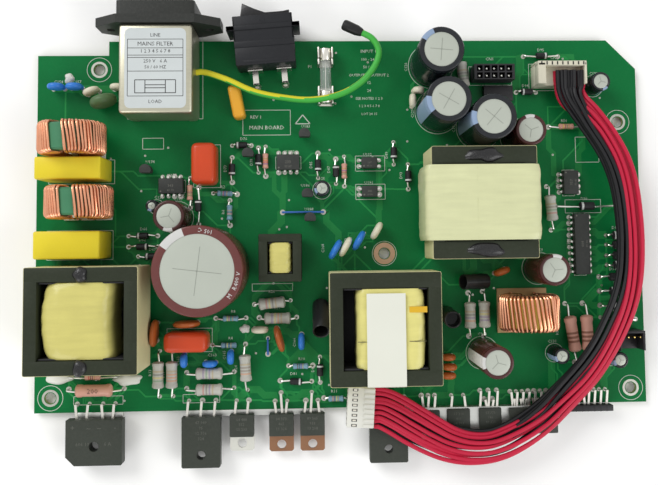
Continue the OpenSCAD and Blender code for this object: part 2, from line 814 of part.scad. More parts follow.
// ---- power devices lying off the front edge ----
// [left, width, length of body, gap from the edge, thickness, lift, hole y or 0, hole diameter]
edge_bodies = [
    [14.5, 22.5, 18, 2, 5.5, 0.5, 12.5, 4],
    [60.7, 15.6, 20, 2, 4.8, 0.5, 17, 3.6],
    [80, 9.8, 9, 1.2, 4.4, 0.5, 0, 0],
    [96, 10, 9, 1.2, 4.4, 0.5, 0, 0],
    [108.7, 10, 9, 1.2, 4.4, 0.5, 0, 0],
    [137, 15.6, 20.5, 1, 4.8, 0.5, 16, 3.6],
    [156, 10, 8, 1, 4.4, 0.5, 0, 0],
    [169, 9.5, 8.2, 0.6, 4.4, 0.5, 0, 0],
    [182.3, 9.2, 9, 0.4, 4.4, 0.5, 0, 0],
    [194.8, 20, 10.5, 0.6, 4.8, 0.5, 0, 0]
];
// Metal tabs of the small packages: [left, width, from, to, hole y]
edge_tabs = [[80, 9.8, 10.2, 16.2, 13.2], [96, 10, 10.2, 16.8, 14], [108.7, 10, 10.2, 16.8, 14]];
tab_t = 1.3;
tab_hole_d = 3.7;
// Leads: [x, y of the hole], each starts at the body's back face
edge_leads = [
    [17.5, 3.5, 2], [22.5, 3.5, 2], [28, 3.5, 2], [33, 3.5, 2],
    [63, 4, 2], [68.5, 4, 2], [74, 4, 2],
    [82.5, 3.7, 1.2], [87.5, 3.7, 1.2],
    [98.3, 3.2, 1.2], [100.8, 6.6, 1.2], [103.3, 3.2, 1.2],
    [111, 3.2, 1.2], [113.5, 6.6, 1.2], [116, 3.2, 1.2],
    [139.5, 4, 1], [151.8, 4, 1],
    [159, 4.3, 1], [161.8, 4.3, 1], [164.5, 4.3, 1],
    [171.5, 4.2, 0.6], [176.5, 4.2, 0.6],
    [183.5, 6, 0.4], [187, 6, 0.4], [190.5, 6, 0.4], [185.3, 2.4, 0.4], [188.7, 2.4, 0.4]
];
edge_lead_w = 1;
edge_lead_z = 2.6;
// The many-leaded driver and the bare pin row beside it: [first x, count, body gap]
zigzag_first = 196.2;
zigzag_step = 2.54;
zigzag_long = 8;
zigzag_y = [5.3, 2.6];
pin_row_first = 218.7;
pin_row_count = 8;
pin_row_y = 5.5;
pin_row_body = [3, 2.5, 5];  // past the row's ends, deep, high
bridge_cut = 5;      // the bevelled corner that marks the bridge's plus lead
rail_y = [-2.5, 0];          // aluminium strip under the leads, along the edge
rail_t = 1.5;
rail_runs = [[17, 36], [62, 118.5], [137, 214.5]];
fingers = [[166.6, 1.6, 11.5], [178.9, 2.4, 11.5], [192, 2.2, 10.5]];   // [left, wide, long]
finger_top = 3.5;

module edge_body(e) {
    y1 = -e[3];
    difference() {
        translate([e[0], y1 - e[2], e[5]]) cube([e[1], e[2], e[4]]);
        if (e[7] > 0) translate([e[0] + e[1] / 2, -e[6], 0]) cylinder(d = e[7], h = e[4] + 1);
    }
}

module bridge_rectifier() {
    color([0.13, 0.13, 0.14])
    on_board() difference() {
        edge_body(edge_bodies[0]);
        translate([edge_bodies[0][0], -edge_bodies[0][3] - edge_bodies[0][2], 0])
            rotate([0, 0, 45]) cube([bridge_cut, bridge_cut, 4 * edge_bodies[0][4]], center = true);
    }
}

module power_packages() {
    color([0.15, 0.15, 0.16])
    on_board() for (i = [1 : len(edge_bodies) - 1]) edge_body(edge_bodies[i]);
}

module power_tabs() {
    color([0.7, 0.55, 0.42])
    on_board() for (t = edge_tabs) difference() {
        translate([t[0], -t[3], edge_bodies[2][5]]) cube([t[1], t[3] - t[2] - eps, tab_t]);
        translate([t[0] + t[1] / 2, -t[4], 0]) cylinder(d = tab_hole_d, h = tab_t + 1);
    }
}

module bent_lead(x, y, back) {
    translate([x - edge_lead_w / 2, eps - back, edge_lead_z]) {
        cube([edge_lead_w, y + back - eps + edge_lead_w / 4, edge_lead_w / 2]);
        translate([0, y + back - edge_lead_w / 4 - eps, -edge_lead_z])
            cube([edge_lead_w, edge_lead_w / 2, edge_lead_z + edge_lead_w / 2]);
    }
}

module power_leads() {
    color([0.8, 0.8, 0.78])
    on_board() {
        for (l = edge_leads) bent_lead(l[0], l[1], l[2]);
        for (i = [0 : zigzag_long - 1]) bent_lead(zigzag_first + i * zigzag_step, zigzag_y[0], 0.6);
        for (i = [0 : zigzag_long - 2])
            bent_lead(zigzag_first + (i + 0.5) * zigzag_step, zigzag_y[1], 0.6);
        for (i = [0 : pin_row_count - 1]) bent_lead(pin_row_first + i * zigzag_step, pin_row_y, 0);
    }
}

module edge_rail() {
    color([0.75, 0.76, 0.74])
    on_board() {
        for (r = rail_runs) block(r, [rail_y[0], rail_y[1] - eps], [-rail_t, 0]);
        for (f = fingers) block([f[0], f[0] + f[1]], [-f[2], -eps], [-rail_t, finger_top]);
    }
}

// ---- headers and plugs ----
signal_header = [182.5, 135.5, 17, 6.5, 9];     // [left, front, wide, deep, high]
signal_pins = [184.8, 3.1, 5, 137.2, 3];        // first x, step, count, row y, row gap
flat_block = [187.5, 127.5, 12.5, 6.5, 3];
output_plug = [208.5, 133, 20.5, 10, 12];
side_header = [240, 22.5, 11, 8, 9];
side_pins = [241.8, 2.5, 4, 27.5];
socket_w = 1.2;
socket_deep = 5;
wall_t = 1;

module frame_block(f, z = 0) {
    translate([f[0], f[1], z]) cube([f[2], f[3], f[4]]);
}

module header_bodies() {
    color([0.1, 0.1, 0.11])
    on_board() {
        difference() {
            frame_block(signal_header);
            for (i = [0 : signal_pins[2] - 1]) for (r = [0, 1]) translate([
                signal_pins[0] + i * signal_pins[1] - socket_w / 2,
                signal_pins[3] + r * signal_pins[4] - socket_w / 2,
                signal_header[4] - socket_deep
            ]) cube([socket_w, socket_w, socket_deep + 1]);
        }
        difference() {
            frame_block(side_header);
            translate([side_header[0] + wall_t, side_header[1] - 1, wall_t + 1])
                cube([side_header[2] - 2 * wall_t, side_header[3] - wall_t + 1, side_header[4]]);
        }
        frame_block(flat_block);
        translate([pin_row_first - pin_row_body[0] / 2, -pin_row_body[1] - eps, edge_bodies[0][5]])
            cube([(pin_row_count - 1) * zigzag_step + pin_row_body[0], pin_row_body[1], pin_row_body[2]]);
    }
}

module header_pins() {
    color([0.85, 0.75, 0.4])
    on_board() for (i = [0 : side_pins[2] - 1])
        translate([side_pins[0] + i * side_pins[1] - pin_w / 2, side_pins[3], wall_t + 1 + eps])
            cube([pin_w, pin_w, side_header[4] - wall_t - 2]);
}

module output_connector() {
    color([0.88, 0.88, 0.84])
    on_board() difference() {
        frame_block(output_plug);
        translate([output_plug[0] + wall_t, output_plug[1] + output_plug[3] - wall_t, output_plug[4] - 4])
            cube([output_plug[2] - 2 * wall_t, wall_t + 1, 5]);
    }
}

// ---- heat-shrink sleeves: [low end], [mouth end], diameter ----
sleeve_d = 7;
sleeve_gap = 2.5;    // clear of the ferrite beside it
sleeve_left = mid_at[0] - sleeve_d / 2;
sleeve_right = mid_at[0] + mid_size[0] + sleeve_d / 2 + sleeve_gap;
sleeves = [
    [[sleeve_left, 43, 2.3], [sleeve_left, 33, 16], sleeve_d],
    [[sleeve_right, 38, 0.4], [sleeve_right, 37, 18], sleeve_d],
    [[187, 51.5, 3.1], [176, 51.5, 8], 6.5]
];
sleeve_wall = 0.6;
sleeve_mouth = 6;    // open depth at the end of a sleeve

module along(a, b) {
    v = b - a;
    translate(a) rotate([0, acos(v[2] / norm(v)), atan2(v[1], v[0])]) children();
}

module heat_shrink_sleeves() {
    color([0.07, 0.08, 0.08])
    on_board() for (s = sleeves) along(s[0], s[1]) difference() {
        cylinder(d = s[2], h = norm(s[1] - s[0]));
        translate([0, 0, norm(s[1] - s[0]) - sleeve_mouth])
            cylinder(d = s[2] - 2 * sleeve_wall, h = sleeve_mouth + 1);
    }
}

// ---- cords: route points from the board's corner, [x, y, z] ----
harness_d = 5.6;
red_route = [
    [138.52, -1.8, 8.6], [141.5, -2, 8.6], [146.5, -4.4, 8.8], [152.5, -8, 9], [160.5, -12.5, 9],
    [168.5, -16, 9], [177.5, -17.8, 9], [187.5, -17.2, 9], [197.5, -13.5, 9], [208.5, -6.5, 9.5],
    [218.5, 3, 10.5], [226.5, 11.5, 12], [232.5, 20, 13.5], [238.5, 30.5, 14],
    [243.5, 41.5, 13.5], [246.5, 53, 12.5],
    [247.5, 66, 12], [247, 79, 12], [245.5, 91.5, 12], [242.5, 102, 12], [237.5, 112, 11.5],
    [231.5, 121, 11], [227.6, 126.5, 9.6], [226, 130.6, 9], [226, 132.98, 9]
];
black_route = [
    [138.95, 5.3, 8.6], [141.9, 5.1, 8.6], [146.4, 2.4, 8.8], [152, -0.6, 9], [160, -5, 9],
    [167.4, -8.8, 9], [176.3, -11.2, 9], [185.5, -11.5, 9], [195, -8, 9], [206, -0.4, 9.5],
    [215.5, 8.9, 10.5], [222.8, 17.1, 12], [228.4, 25.4, 13.5], [233, 34.2, 14],
    [237.4, 43.7, 13.5], [240.4, 54, 12.5],
    [241.4, 66, 12], [241, 78, 12], [239.5, 90, 12], [236.5, 100, 12], [232, 109, 11.5],
    [226, 118, 11], [220.6, 126, 9.6], [219, 130.4, 9], [219, 132.98, 9]
];
earth_d = 2.6;
earth_route = [
    [67.52, 138.5, 10.5], [71, 138.5, 10.5], [80, 135.4, 10.8], [91, 130.5, 10.5], [103, 128, 10],
    [114.5, 127, 10.2], [126, 129, 11], [134.5, 133.5, 12], [140, 139.5, 12.5],
    [142.4, 145.2, 12.3], [141.6, 149.4, 12.1], [139.4, 152.4, 11.8], [137.2, 153.9, 11.3]
];
earth_tip = [128, 158.5, 10];
terminal_in = 1.5;   // the last stretch of wire lies in line with its terminal
earth_end = earth_route[len(earth_route) - 1];
terminal_start = earth_end + terminal_in * (earth_tip - earth_end) / norm(earth_tip - earth_end);
earth_sleeve_d = 4.6;
plug_at = [133.2, 2, 5.4];
plug_size = [11, 16, 6.4];
plug_turn = -3.5;
cord_sides = 8;

function along_at(r, i) =
    let(a = r[max(i - 1, 0)], b = r[min(i + 1, len(r) - 1)]) (b - a) / norm(b - a);

function ring_at(r, i, d) =
    let(
        t = along_at(r, i),
        side = cross(t, [0, 0, 1]) / norm(cross(t, [0, 0, 1])),
        up = cross(side, t)
    ) [for (k = [0 : cord_sides - 1])
        r[i] + d / 2 * (cos(360 * k / cord_sides) * side + sin(360 * k / cord_sides) * up)];

module cord(route, d) {
    n = len(route);
    pts = [for (i = [0 : n - 1]) each ring_at(route, i, d)];
    walls = [for (i = [0 : n - 2]) for (k = [0 : cord_sides - 1])
        let(k2 = (k + 1) % cord_sides)
        [i * cord_sides + k, i * cord_sides + k2, (i + 1) * cord_sides + k2, (i + 1) * cord_sides + k]];
    first = [for (k = [0 : cord_sides - 1]) cord_sides - 1 - k];
    last = [for (k = [0 : cord_sides - 1]) (n - 1) * cord_sides + k];
    polyhedron(points = pts, faces = concat(walls, [first], [last]));
}

module harness_red() {
    color([0.8, 0.12, 0.3])
    on_board() cord(red_route, harness_d);
}

module harness_black() {
    color([0.08, 0.08, 0.09])
    on_board() cord(black_route, harness_d);
}

module harness_plug() {
    color([0.9, 0.9, 0.86])
    on_board() translate(plug_at) rotate([0, 0, plug_turn])
        translate([-plug_size[0] / 2, -plug_size[1] / 2, 0]) cube(plug_size);
}

module earth_wire() {
    color([0.45, 0.75, 0.3])
    on_board() cord(concat(earth_route, [terminal_start]), earth_d);
}

module earth_terminal() {
    color([0.08, 0.08, 0.08])
    on_board() along(terminal_start, earth_tip) translate([0, 0, eps])
        cylinder(d = earth_sleeve_d, h = norm(earth_tip - terminal_start));
}

// ---- hot-melt and sealant: [x, y, z of the flat under it, radius] ----
white_glue = [[13, 138.3, 0, 2.2], [10, 14, 0, 2.5], [38, 13, 0, 2.5], [86, 33, 0, 2]];
black_glue = [
    [26.7, 57.2, 30, 3], [26.7, 22.2, 30, 3], [181.5, 101.5, 30, 3], [181.5, 64.8, 30, 3]
];

module glue_dome(g) {
    translate([g[0], g[1], g[2]]) intersection() {
        translate([0, 0, -g[3] / 2]) sphere(r = g[3]);
        translate([-g[3], -g[3], 0]) cube([2 * g[3], 2 * g[3], g[3]]);
    }
}

module glue_beads_white() {
    color([0.93, 0.93, 0.9])
    on_board() for (g = white_glue) glue_dome(g);
}

module glue_beads_black() {
    color([0.05, 0.05, 0.05])
    on_board() for (g = black_glue) glue_dome(g);
}

jumpers = [[[102, 81.2], [119, 81.2]], [[95.5, 22.5], [95.5, 29]]];

module wire_links() {
    color([0.3, 0.45, 0.8])
    on_board() for (j = jumpers) staple(j[0], j[1], 1);
}

// ---- solder joints under the board, at the leads of the parts above ----
function ends(list) = [for (a = list) each [a[0], a[1]]];
function can_leads(list) = [for (c = list) each
    [[c[0] - c[2] / 5, c[1]], [c[0] + c[2] / 5, c[1]]]];
function disc_leads(list) = [for (c = list) for (s = [-1, 1])
    [c[0] + s * c[2] / 3 * cos(c[3]), c[1] + s * c[2] / 3 * sin(c[3])]];
function box_leads(list) = [for (c = list) for (s = [0.15, 0.85])
    c[2] > c[3] ? [c[0] + s * c[2], c[1] + c[3] / 2] : [c[0] + c[2] / 2, c[1] + s * c[3]]];
function row_leads(r) = [for (i = [0 : r[4] - 1]) for (far = [0, 1])
    [r[0] + i * r[2] + far * r[5], r[1] + i * r[3] + far * r[6]]];
pins_in = [4, 3];    // a bobbin's pins stand in from its sides and ends
function pin_sides(p, s, n) = [for (i = [0 : n - 1]) for (e = [0, 1])
    [p[0] + pins_in[0] + i * (s[0] - 2 * pins_in[0]) / (n - 1),
        p[1] + pins_in[1] + e * (s[1] - 2 * pins_in[1])]];

joint_points = concat(
    ends(big_grey), ends(big_pink), ends(small_axials), ends(blue_axials), ends(diodes),
    ends(big_diodes), ends(jumpers),
    can_leads(concat(black_cans, brown_cans)), can_leads([[bulk_at[0], bulk_at[1], bulk_d, 0]]),
    disc_leads(blue_discs), disc_leads(cream_discs), disc_leads(brown_discs),
    box_leads(x_caps), box_leads(film_caps),
    [for (r = ic_rows) each row_leads(r)],
    [for (l = edge_leads) [l[0], l[1]]],
    [for (i = [0 : zigzag_long - 1]) [zigzag_first + i * zigzag_step, zigzag_y[0]]],
    [for (i = [0 : pin_row_count - 1]) [pin_row_first + i * zigzag_step, pin_row_y]],
    pin_sides(boost_at, boost_size, 5), pin_sides(main_at, main_size, 6),
    pin_sides(mid_at, mid_size, 6), pin_sides(small_at, small_size, 3)
);
joint_sides = 6;

module solder_side() {
    color([0.7, 0.71, 0.7])
    on_board() translate([0, 0, -board_t]) {
        translate([0, 0, -coat_t]) linear_extrude(coat_t) difference() {
            board_outline(coat_in);
            for (p = mount_points) translate(p) circle(d = coat_keep);
        }
        for (p = joint_points) translate([p[0], p[1], -joint_h])
            cylinder(d = joint_d, h = joint_h, $fn = joint_sides);
    }
}

board();
solder_side();
inlet_can();
inlet_flange();
inlet_blades();
switch_housing();
switch_rocker();
switch_terminals();
fuse_metal();
fuse_tube();
choke_cores();
choke_windings();
choke_bases();
toroid_core();
toroid_winding();
toroid_base_plate();
ferrite_cores();
boost_winding();
bobbin_feet();
main_winding();
mid_winding();
paper_strip();
small_winding();
bulk_capacitor();
black_capacitors();
brown_capacitors();
capacitor_ends();
x_capacitors();
film_capacitors();
yellow_film_capacitor();
blue_disc_capacitors();
cream_disc_capacitors();
brown_disc_capacitors();
inrush_thermistor();
grey_resistors();
pink_resistors();
blue_resistors();
diode_bodies();
axial_lead_wires();
moulded_packages();
package_pins();
bridge_rectifier();
power_packages();
power_tabs();
power_leads();
edge_rail();
header_bodies();
header_pins();
output_connector();
heat_shrink_sleeves();
harness_red();
harness_black();
harness_plug();
earth_wire();
earth_terminal();
glue_beads_white();
glue_beads_black();
wire_links();
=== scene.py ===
import random
from math import atan2, copysign, cos, degrees, exp, hypot, inf, pi, radians, sin

import bmesh
import bpy
import numpy as np
from bpy.props import FloatProperty, FloatVectorProperty, IntProperty, PointerProperty
from mathutils import Matrix, Vector


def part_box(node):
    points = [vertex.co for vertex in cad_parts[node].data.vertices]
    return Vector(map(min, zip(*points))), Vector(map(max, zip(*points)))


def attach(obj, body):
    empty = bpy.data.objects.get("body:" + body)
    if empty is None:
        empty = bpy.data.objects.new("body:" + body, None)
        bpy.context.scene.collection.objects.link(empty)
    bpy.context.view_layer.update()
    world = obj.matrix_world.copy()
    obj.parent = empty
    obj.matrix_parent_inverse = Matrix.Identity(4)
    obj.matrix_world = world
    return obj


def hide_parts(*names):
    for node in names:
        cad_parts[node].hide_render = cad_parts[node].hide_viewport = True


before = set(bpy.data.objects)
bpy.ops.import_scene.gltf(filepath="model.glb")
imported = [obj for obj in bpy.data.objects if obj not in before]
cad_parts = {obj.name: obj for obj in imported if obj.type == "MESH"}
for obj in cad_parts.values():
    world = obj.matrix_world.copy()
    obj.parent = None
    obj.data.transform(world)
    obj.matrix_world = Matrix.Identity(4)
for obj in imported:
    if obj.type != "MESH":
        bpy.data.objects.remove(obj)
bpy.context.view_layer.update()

bl_info = {
    "name": "Open Frame Power Supply",
    "version": (1, 0, 0),
    "blender": (4, 5, 0),
    "location": "3D View > Sidebar > Power Supply",
    "description": "Builds the looks of an open frame power supply over its CAD frame",
    "category": "Object",
}

MM = 0.001
BOARD_W = 254.0
BOARD_D = 154.0
BOARD_T = 1.6
HOLE_IN_Y = 6.0
CORNER_CUT = 12.5
STEP_X = 29.5
STEP_Y = 148.0
MOUNT_HOLES = [(6.5, 6), (247.5, 6), (25.5, 142), (144.5, 63.5), (245.5, 118.5)]
HOLE_R = 2.25


def place(x, y, z=0.0):
    """A point given in millimetres from the board's front left corner, top face, in the row frame."""
    return Vector(((x - BOARD_W / 2) * MM, (y - HOLE_IN_Y) * MM, (z + BOARD_T) * MM))


def plan(x, y):
    """The same point seen from above."""
    return tuple(place(x, y)[:2])


def board_xy(point):
    """Board millimetres of a point of the row frame."""
    return point.x / MM + BOARD_W / 2, point.y / MM + HOLE_IN_Y


def welded(node):
    """A CAD node's mesh in metres, with its corner points joined."""
    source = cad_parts[node]
    bm = bmesh.new()
    bm.from_mesh(source.data)
    bm.transform(source.matrix_world)
    bmesh.ops.remove_doubles(bm, verts=bm.verts, dist=2e-6)
    return bm


def islands(bm, ceiling=inf):
    """The places of the vertices that edges join, one list for each connected group under a height."""
    seen, found = set(), []
    for start in bm.verts:
        if start in seen or start.co.z > ceiling:
            continue
        group, todo = [], [start]
        seen.add(start)
        while todo:
            vert = todo.pop()
            group.append(vert.co.copy())
            for edge in vert.link_edges:
                other = edge.other_vert(vert)
                if other not in seen and other.co.z < ceiling:
                    seen.add(other)
                    todo.append(other)
        found.append(group)
    return found


def solids(node):
    """The separate solids of a CAD node, each as an array of its corner points in metres."""
    bm = welded(node)
    found = [np.array([tuple(point) for point in group]) for group in islands(bm)]
    bm.free()
    return sorted(found, key=lambda g: (round(float(g[:, 0].mean()), 5), float(g[:, 1].mean())))


def span(points):
    """Lowest and highest corner of a solid."""
    return Vector(points.min(axis=0)), Vector(points.max(axis=0))


def spans(node):
    """Lowest and highest corners of the separate solids of a CAD node."""
    return [span(points) for points in solids(node)]


def round_place(points):
    """Centre, diameter and height of an upright round solid, in board millimetres."""
    low, high = span(points)
    return *board_xy((low + high) / 2), (high.x - low.x) / MM, high.z / MM - BOARD_T


def rim(low, high):
    """Left, front, right and back of a block, in millimetres of the row frame."""
    return low.x / MM, low.y / MM, high.x / MM, high.y / MM


def long_axis(points):
    """Two end points and the radius of a round body, from its corner points."""
    middle = points.mean(axis=0)
    _, vectors = np.linalg.eigh(np.cov((points - middle).T))
    axis = vectors[:, -1]
    along = (points - middle) @ axis
    middle = middle + axis * (along.max() + along.min()) / 2
    half = (along.max() - along.min()) / 2
    radial = np.linalg.norm((points - middle) - np.outer((points - middle) @ axis, axis), axis=1)
    axis = axis if axis[np.argmax(np.abs(axis))] > 0 else -axis
    return Vector(middle - axis * half), Vector(middle + axis * half), float(radial.max())


def circle(centre, side, up, radius, sides):
    """Points round a centre in the plane of two directions."""
    turns = [2 * pi * k / sides for k in range(sides)]
    return [centre + radius * (cos(a) * side + sin(a) * up) for a in turns]


def ring_points(x, y, r, sides=24):
    """Points round a circle in the board's plane."""
    turns = [2 * pi * k / sides for k in range(sides)]
    return [(x + r * cos(a), y + r * sin(a)) for a in turns]


# ---- shapes ----

class Shape:
    """A mesh being made, with material numbers, that ends as one named piece."""

    def __init__(self):
        self.bm = bmesh.new()

    def band(self, low, high, slot):
        """Faces between two rings of vertices."""
        faces = []
        for k in range(len(low)):
            j = (k + 1) % len(low)
            face = self.bm.faces.new((low[k], low[j], high[j], high[k]))
            face.material_index = slot
            faces.append(face)
        return faces

    def rings(self, rings, slot=0, closed=False, caps=True, slots=None):
        """Skin over a list of rings of points, with a slot for each band if given. Gives back the side faces."""
        made = [[self.bm.verts.new(p) for p in ring] for ring in rings]
        pairs = list(zip(made, made[1:] + made[:1] if closed else made[1:]))
        slots = slots or [slot] * len(pairs)
        skin = [face for pair, number in zip(pairs, slots) for face in self.band(*pair, number)]
        if caps and not closed:
            self.bm.faces.new(list(reversed(made[0]))).material_index = slots[0]
            self.bm.faces.new(made[-1]).material_index = slots[-1]
        return skin

    def box(self, low, high, slot=0, bevel=0.0, matrix=None, steps=2):
        """A block between two corners, with its edges rounded."""
        low, high = Vector(low), Vector(high)
        middle, size = (low + high) / 2, high - low
        made = bmesh.ops.create_cube(self.bm, size=1.0)["verts"]
        bmesh.ops.scale(self.bm, vec=size, verts=made)
        bmesh.ops.translate(self.bm, vec=middle, verts=made)
        faces = {f for v in made for f in v.link_faces}
        if bevel > 0:
            edges = list({e for v in made for e in v.link_edges})
            out = bmesh.ops.bevel(
                self.bm, geom=edges, offset=min(bevel, min(size) * 0.45), segments=steps,
                profile=0.5, affect="EDGES", clamp_overlap=True,
            )
            faces = set(out["faces"]) | {f for f in faces if f.is_valid}
            faces |= {f for v in {v for f in faces for v in f.verts} for f in v.link_faces}
        for face in faces:
            face.material_index = slot
        if matrix is not None:
            bmesh.ops.transform(self.bm, matrix=matrix, verts=list({v for f in faces for v in f.verts}))

    def block(self, x0, y0, z0, x1, y1, z1, slot=0, bevel=0.0):
        """A block between two corners in board millimetres."""
        self.box(place(x0, y0, z0), place(x1, y1, z1), slot, bevel * MM)

    def local(self, low, high, slot, bevel, matrix):
        """A block in millimetres of a frame of its own."""
        self.box(Vector(low) * MM, Vector(high) * MM, slot, bevel * MM, matrix)

    def turned(self, foot, head, profile, slot=0, sides=32, slots=None, unit=MM):
        """A round body between two points. profile is a list of (share of the length, radius in units)."""
        foot, head = Vector(foot), Vector(head)
        axis = (head - foot).normalized()
        side = axis.orthogonal().normalized()
        other = axis.cross(side)
        rings = [
            circle(foot.lerp(head, share), side, other, max(radius * unit, 1e-6), sides)
            for share, radius in profile
        ]
        self.rings(rings, slot, slots=slots)

    def wire(self, points, radius, slot=0, sides=8, closed=False, stripe=None):
        """A round wire along a list of points. stripe is (slot, share of the round, turns along it)."""
        points = [Vector(p) for p in points]
        count = len(points)
        rings = []
        side = None
        for i, here in enumerate(points):
            if closed:
                ahead = points[(i + 1) % count] - points[i - 1]
            else:
                ahead = points[min(i + 1, count - 1)] - points[max(i - 1, 0)]
            ahead.normalize()
            if side is None:
                side = ahead.orthogonal().normalized()
            side = (side - ahead * side.dot(ahead)).normalized()
            up = ahead.cross(side)
            rings.append(circle(here, side, up, radius, sides))
        skin = self.rings(rings, slot, closed=closed)
        if stripe:
            for index, face in enumerate(skin):
                i, k = divmod(index, sides)
                if (k / sides + stripe[2] * i / count) % 1 < stripe[1]:
                    face.material_index = stripe[0]

    def prism(self, outline, low, high, slot=0, bevel=0.0):
        """An outline in x and y, in metres, raised from low to high."""
        base = [self.bm.verts.new((x, y, low)) for x, y in outline]
        top = [self.bm.verts.new((x, y, high)) for x, y in outline]
        faces = [self.bm.faces.new(list(reversed(base))), self.bm.faces.new(top), *self.band(base, top, slot)]
        if bevel > 0:
            edges = list({e for f in faces for e in f.edges})
            out = bmesh.ops.bevel(
                self.bm, geom=edges, offset=bevel, segments=2, profile=0.5,
                affect="EDGES", clamp_overlap=True,
            )
            faces = [f for f in faces if f.is_valid] + out["faces"]
        for face in faces:
            face.material_index = slot

    def ribbon(self, points, width, z, slot=0, thick=0.03 * MM):
        """A flat strip along points in the board's plane, standing slightly proud."""
        rows = []
        for i, here in enumerate(points):
            ahead = Vector(points[min(i + 1, len(points) - 1)]) - Vector(points[max(i - 1, 0)])
            if ahead.length < 1e-9:
                return
            ahead.normalize()
            out = Vector((-ahead.y, ahead.x)) * width / 2
            x, y = here
            rows.append([
                Vector((x - out.x, y - out.y, z)), Vector((x + out.x, y + out.y, z)),
                Vector((x + out.x, y + out.y, z + thick)), Vector((x - out.x, y - out.y, z + thick)),
            ])
        self.rings(rows, slot)

    def pad(self, centre, r_in, r_out, z, slot=0, thick=0.04 * MM, sides=24):
        """A flat ring or disc lying on the board."""
        outer = ring_points(*centre, r_out, sides)
        if r_in <= 0:
            self.prism(outer, z, z + thick, slot)
            return
        loops = [
            [Vector((*a, z)), Vector((*b, z)), Vector((*b, z + thick)), Vector((*a, z + thick))]
            for a, b in zip(ring_points(*centre, r_in, sides), outer)
        ]
        self.rings(loops, slot, closed=True)

    def piece(self, name, materials, nodes=(), body="chassis", smooth=35.0):
        """Close the mesh as a named piece that stands for CAD nodes and rides on a body."""
        bmesh.ops.recalc_face_normals(self.bm, faces=self.bm.faces)
        mesh = bpy.data.meshes.new(name)
        self.bm.to_mesh(mesh)
        self.bm.free()
        for material in materials:
            mesh.materials.append(material)
        obj = bpy.data.objects.new(name, mesh)
        bpy.context.scene.collection.objects.link(obj)
        mesh.polygons.foreach_set("use_smooth", [True] * len(mesh.polygons))
        mesh.set_sharp_from_angle(angle=radians(smooth))
        if nodes:
            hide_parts(*nodes)
        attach(obj, body)
        return obj


def plain_boxes(name, node, look, bevel):
    """One piece of rounded blocks, one for each solid of a CAD node."""
    shape = Shape()
    for low, high in spans(node):
        shape.box(low, high, 0, bevel * MM)
    shape.piece(name, [look], [node])


def raise_outline(shape, outline, low, high, slot=0, matrix=Matrix.Identity(4), bevel=0.0, holes=(), wall=None):
    """An outline in millimetres raised between two levels, with holes cut through, and put in place by a matrix."""
    part = Shape()
    if holes:
        rims = []
        for z in (low, high):
            edges, loops = [], []
            for points in (outline, *holes):
                loop = [part.bm.verts.new((x * MM, y * MM, z * MM)) for x, y in points]
                edges += [part.bm.edges.new(pair) for pair in zip(loop, loop[1:] + loop[:1])]
                loops.append(loop)
            bmesh.ops.triangle_fill(part.bm, use_beauty=True, use_dissolve=False, edges=edges)
            rims.append(loops)
        for face in part.bm.faces:
            face.material_index = slot
        for below, above in zip(*rims):
            part.band(below, above, slot if wall is None else wall)
    else:
        part.prism([(x * MM, y * MM) for x, y in outline], low * MM, high * MM, slot, bevel)
    bmesh.ops.transform(part.bm, matrix=matrix, verts=part.bm.verts)
    mesh = bpy.data.meshes.new("part")
    part.bm.to_mesh(mesh)
    part.bm.free()
    shape.bm.from_mesh(mesh)
    bpy.data.meshes.remove(mesh)


def rounded(half_x, half_y, r, steps=4):
    """A rectangle with round corners, in millimetres."""
    points = []
    for cx, cy, start in (
        (half_x - r, half_y - r, 0), (r - half_x, half_y - r, 90), (r - half_x, r - half_y, 180),
        (half_x - r, r - half_y, 270),
    ):
        for i in range(steps + 1):
            a = radians(start + 90 * i / steps)
            points.append((cx + r * cos(a), cy + r * sin(a)))
    return points


def text_mesh(words, size, where, turn, slot, shape, z):
    """Printed letters and numbers, laid flat on the board as thin outlines filled in."""
    curve = bpy.data.curves.new("print", "FONT")
    curve.body = words
    curve.size = size
    curve.resolution_u = 1
    curve.align_x = "CENTER"
    curve.align_y = "CENTER"
    obj = bpy.data.objects.new("print", curve)
    bpy.context.scene.collection.objects.link(obj)
    bpy.context.view_layer.update()
    mesh = bpy.data.meshes.new_from_object(obj.evaluated_get(bpy.context.evaluated_depsgraph_get()))
    matrix = Matrix.Translation((where[0], where[1], z)) @ Matrix.Rotation(radians(turn), 4, "Z")
    mesh.transform(matrix)
    for polygon in mesh.polygons:
        polygon.material_index = slot
    shape.bm.from_mesh(mesh)
    bpy.data.objects.remove(obj)
    bpy.data.curves.remove(curve)
    bpy.data.meshes.remove(mesh)


# ---- finishes ----

def feed(tree, socket, value):
    """Puts a number, a vector, a colour of three values or a link into a socket."""
    if isinstance(value, bpy.types.NodeSocket):
        tree.links.new(value, socket)
    else:
        socket.default_value = (*value, 1.0) if socket.type == "RGBA" else value


def node(tree, kind, inputs, **choices):
    """A node with its choices set and its inputs fed by name or number."""
    made = tree.nodes.new("ShaderNode" + kind)
    for name, choice in choices.items():
        setattr(made, name, choice)
    for key, value in inputs.items():
        feed(tree, made.inputs[key], value)
    return made.outputs


def math_node(tree, operation, first, second, clamp=False):
    """A math node with sockets or plain numbers for its inputs."""
    return node(tree, "Math", {0: first, 1: second}, operation=operation, use_clamp=clamp)[0]


def times(tree, first, second):
    """The product of two values."""
    return math_node(tree, "MULTIPLY", first, second)


def noise(tree, vector, scale, detail=3.0, rough=0.55):
    """Fractal noise at a scale in repeats per metre."""
    inputs = {"Vector": vector, "Scale": scale, "Detail": detail, "Roughness": rough}
    return node(tree, "TexNoise", inputs)["Fac"]


def mix_colour(tree, factor, first, second):
    """Two colours mixed by a factor."""
    return node(tree, "Mix", {0: factor, 6: first, 7: second}, data_type="RGBA")[2]


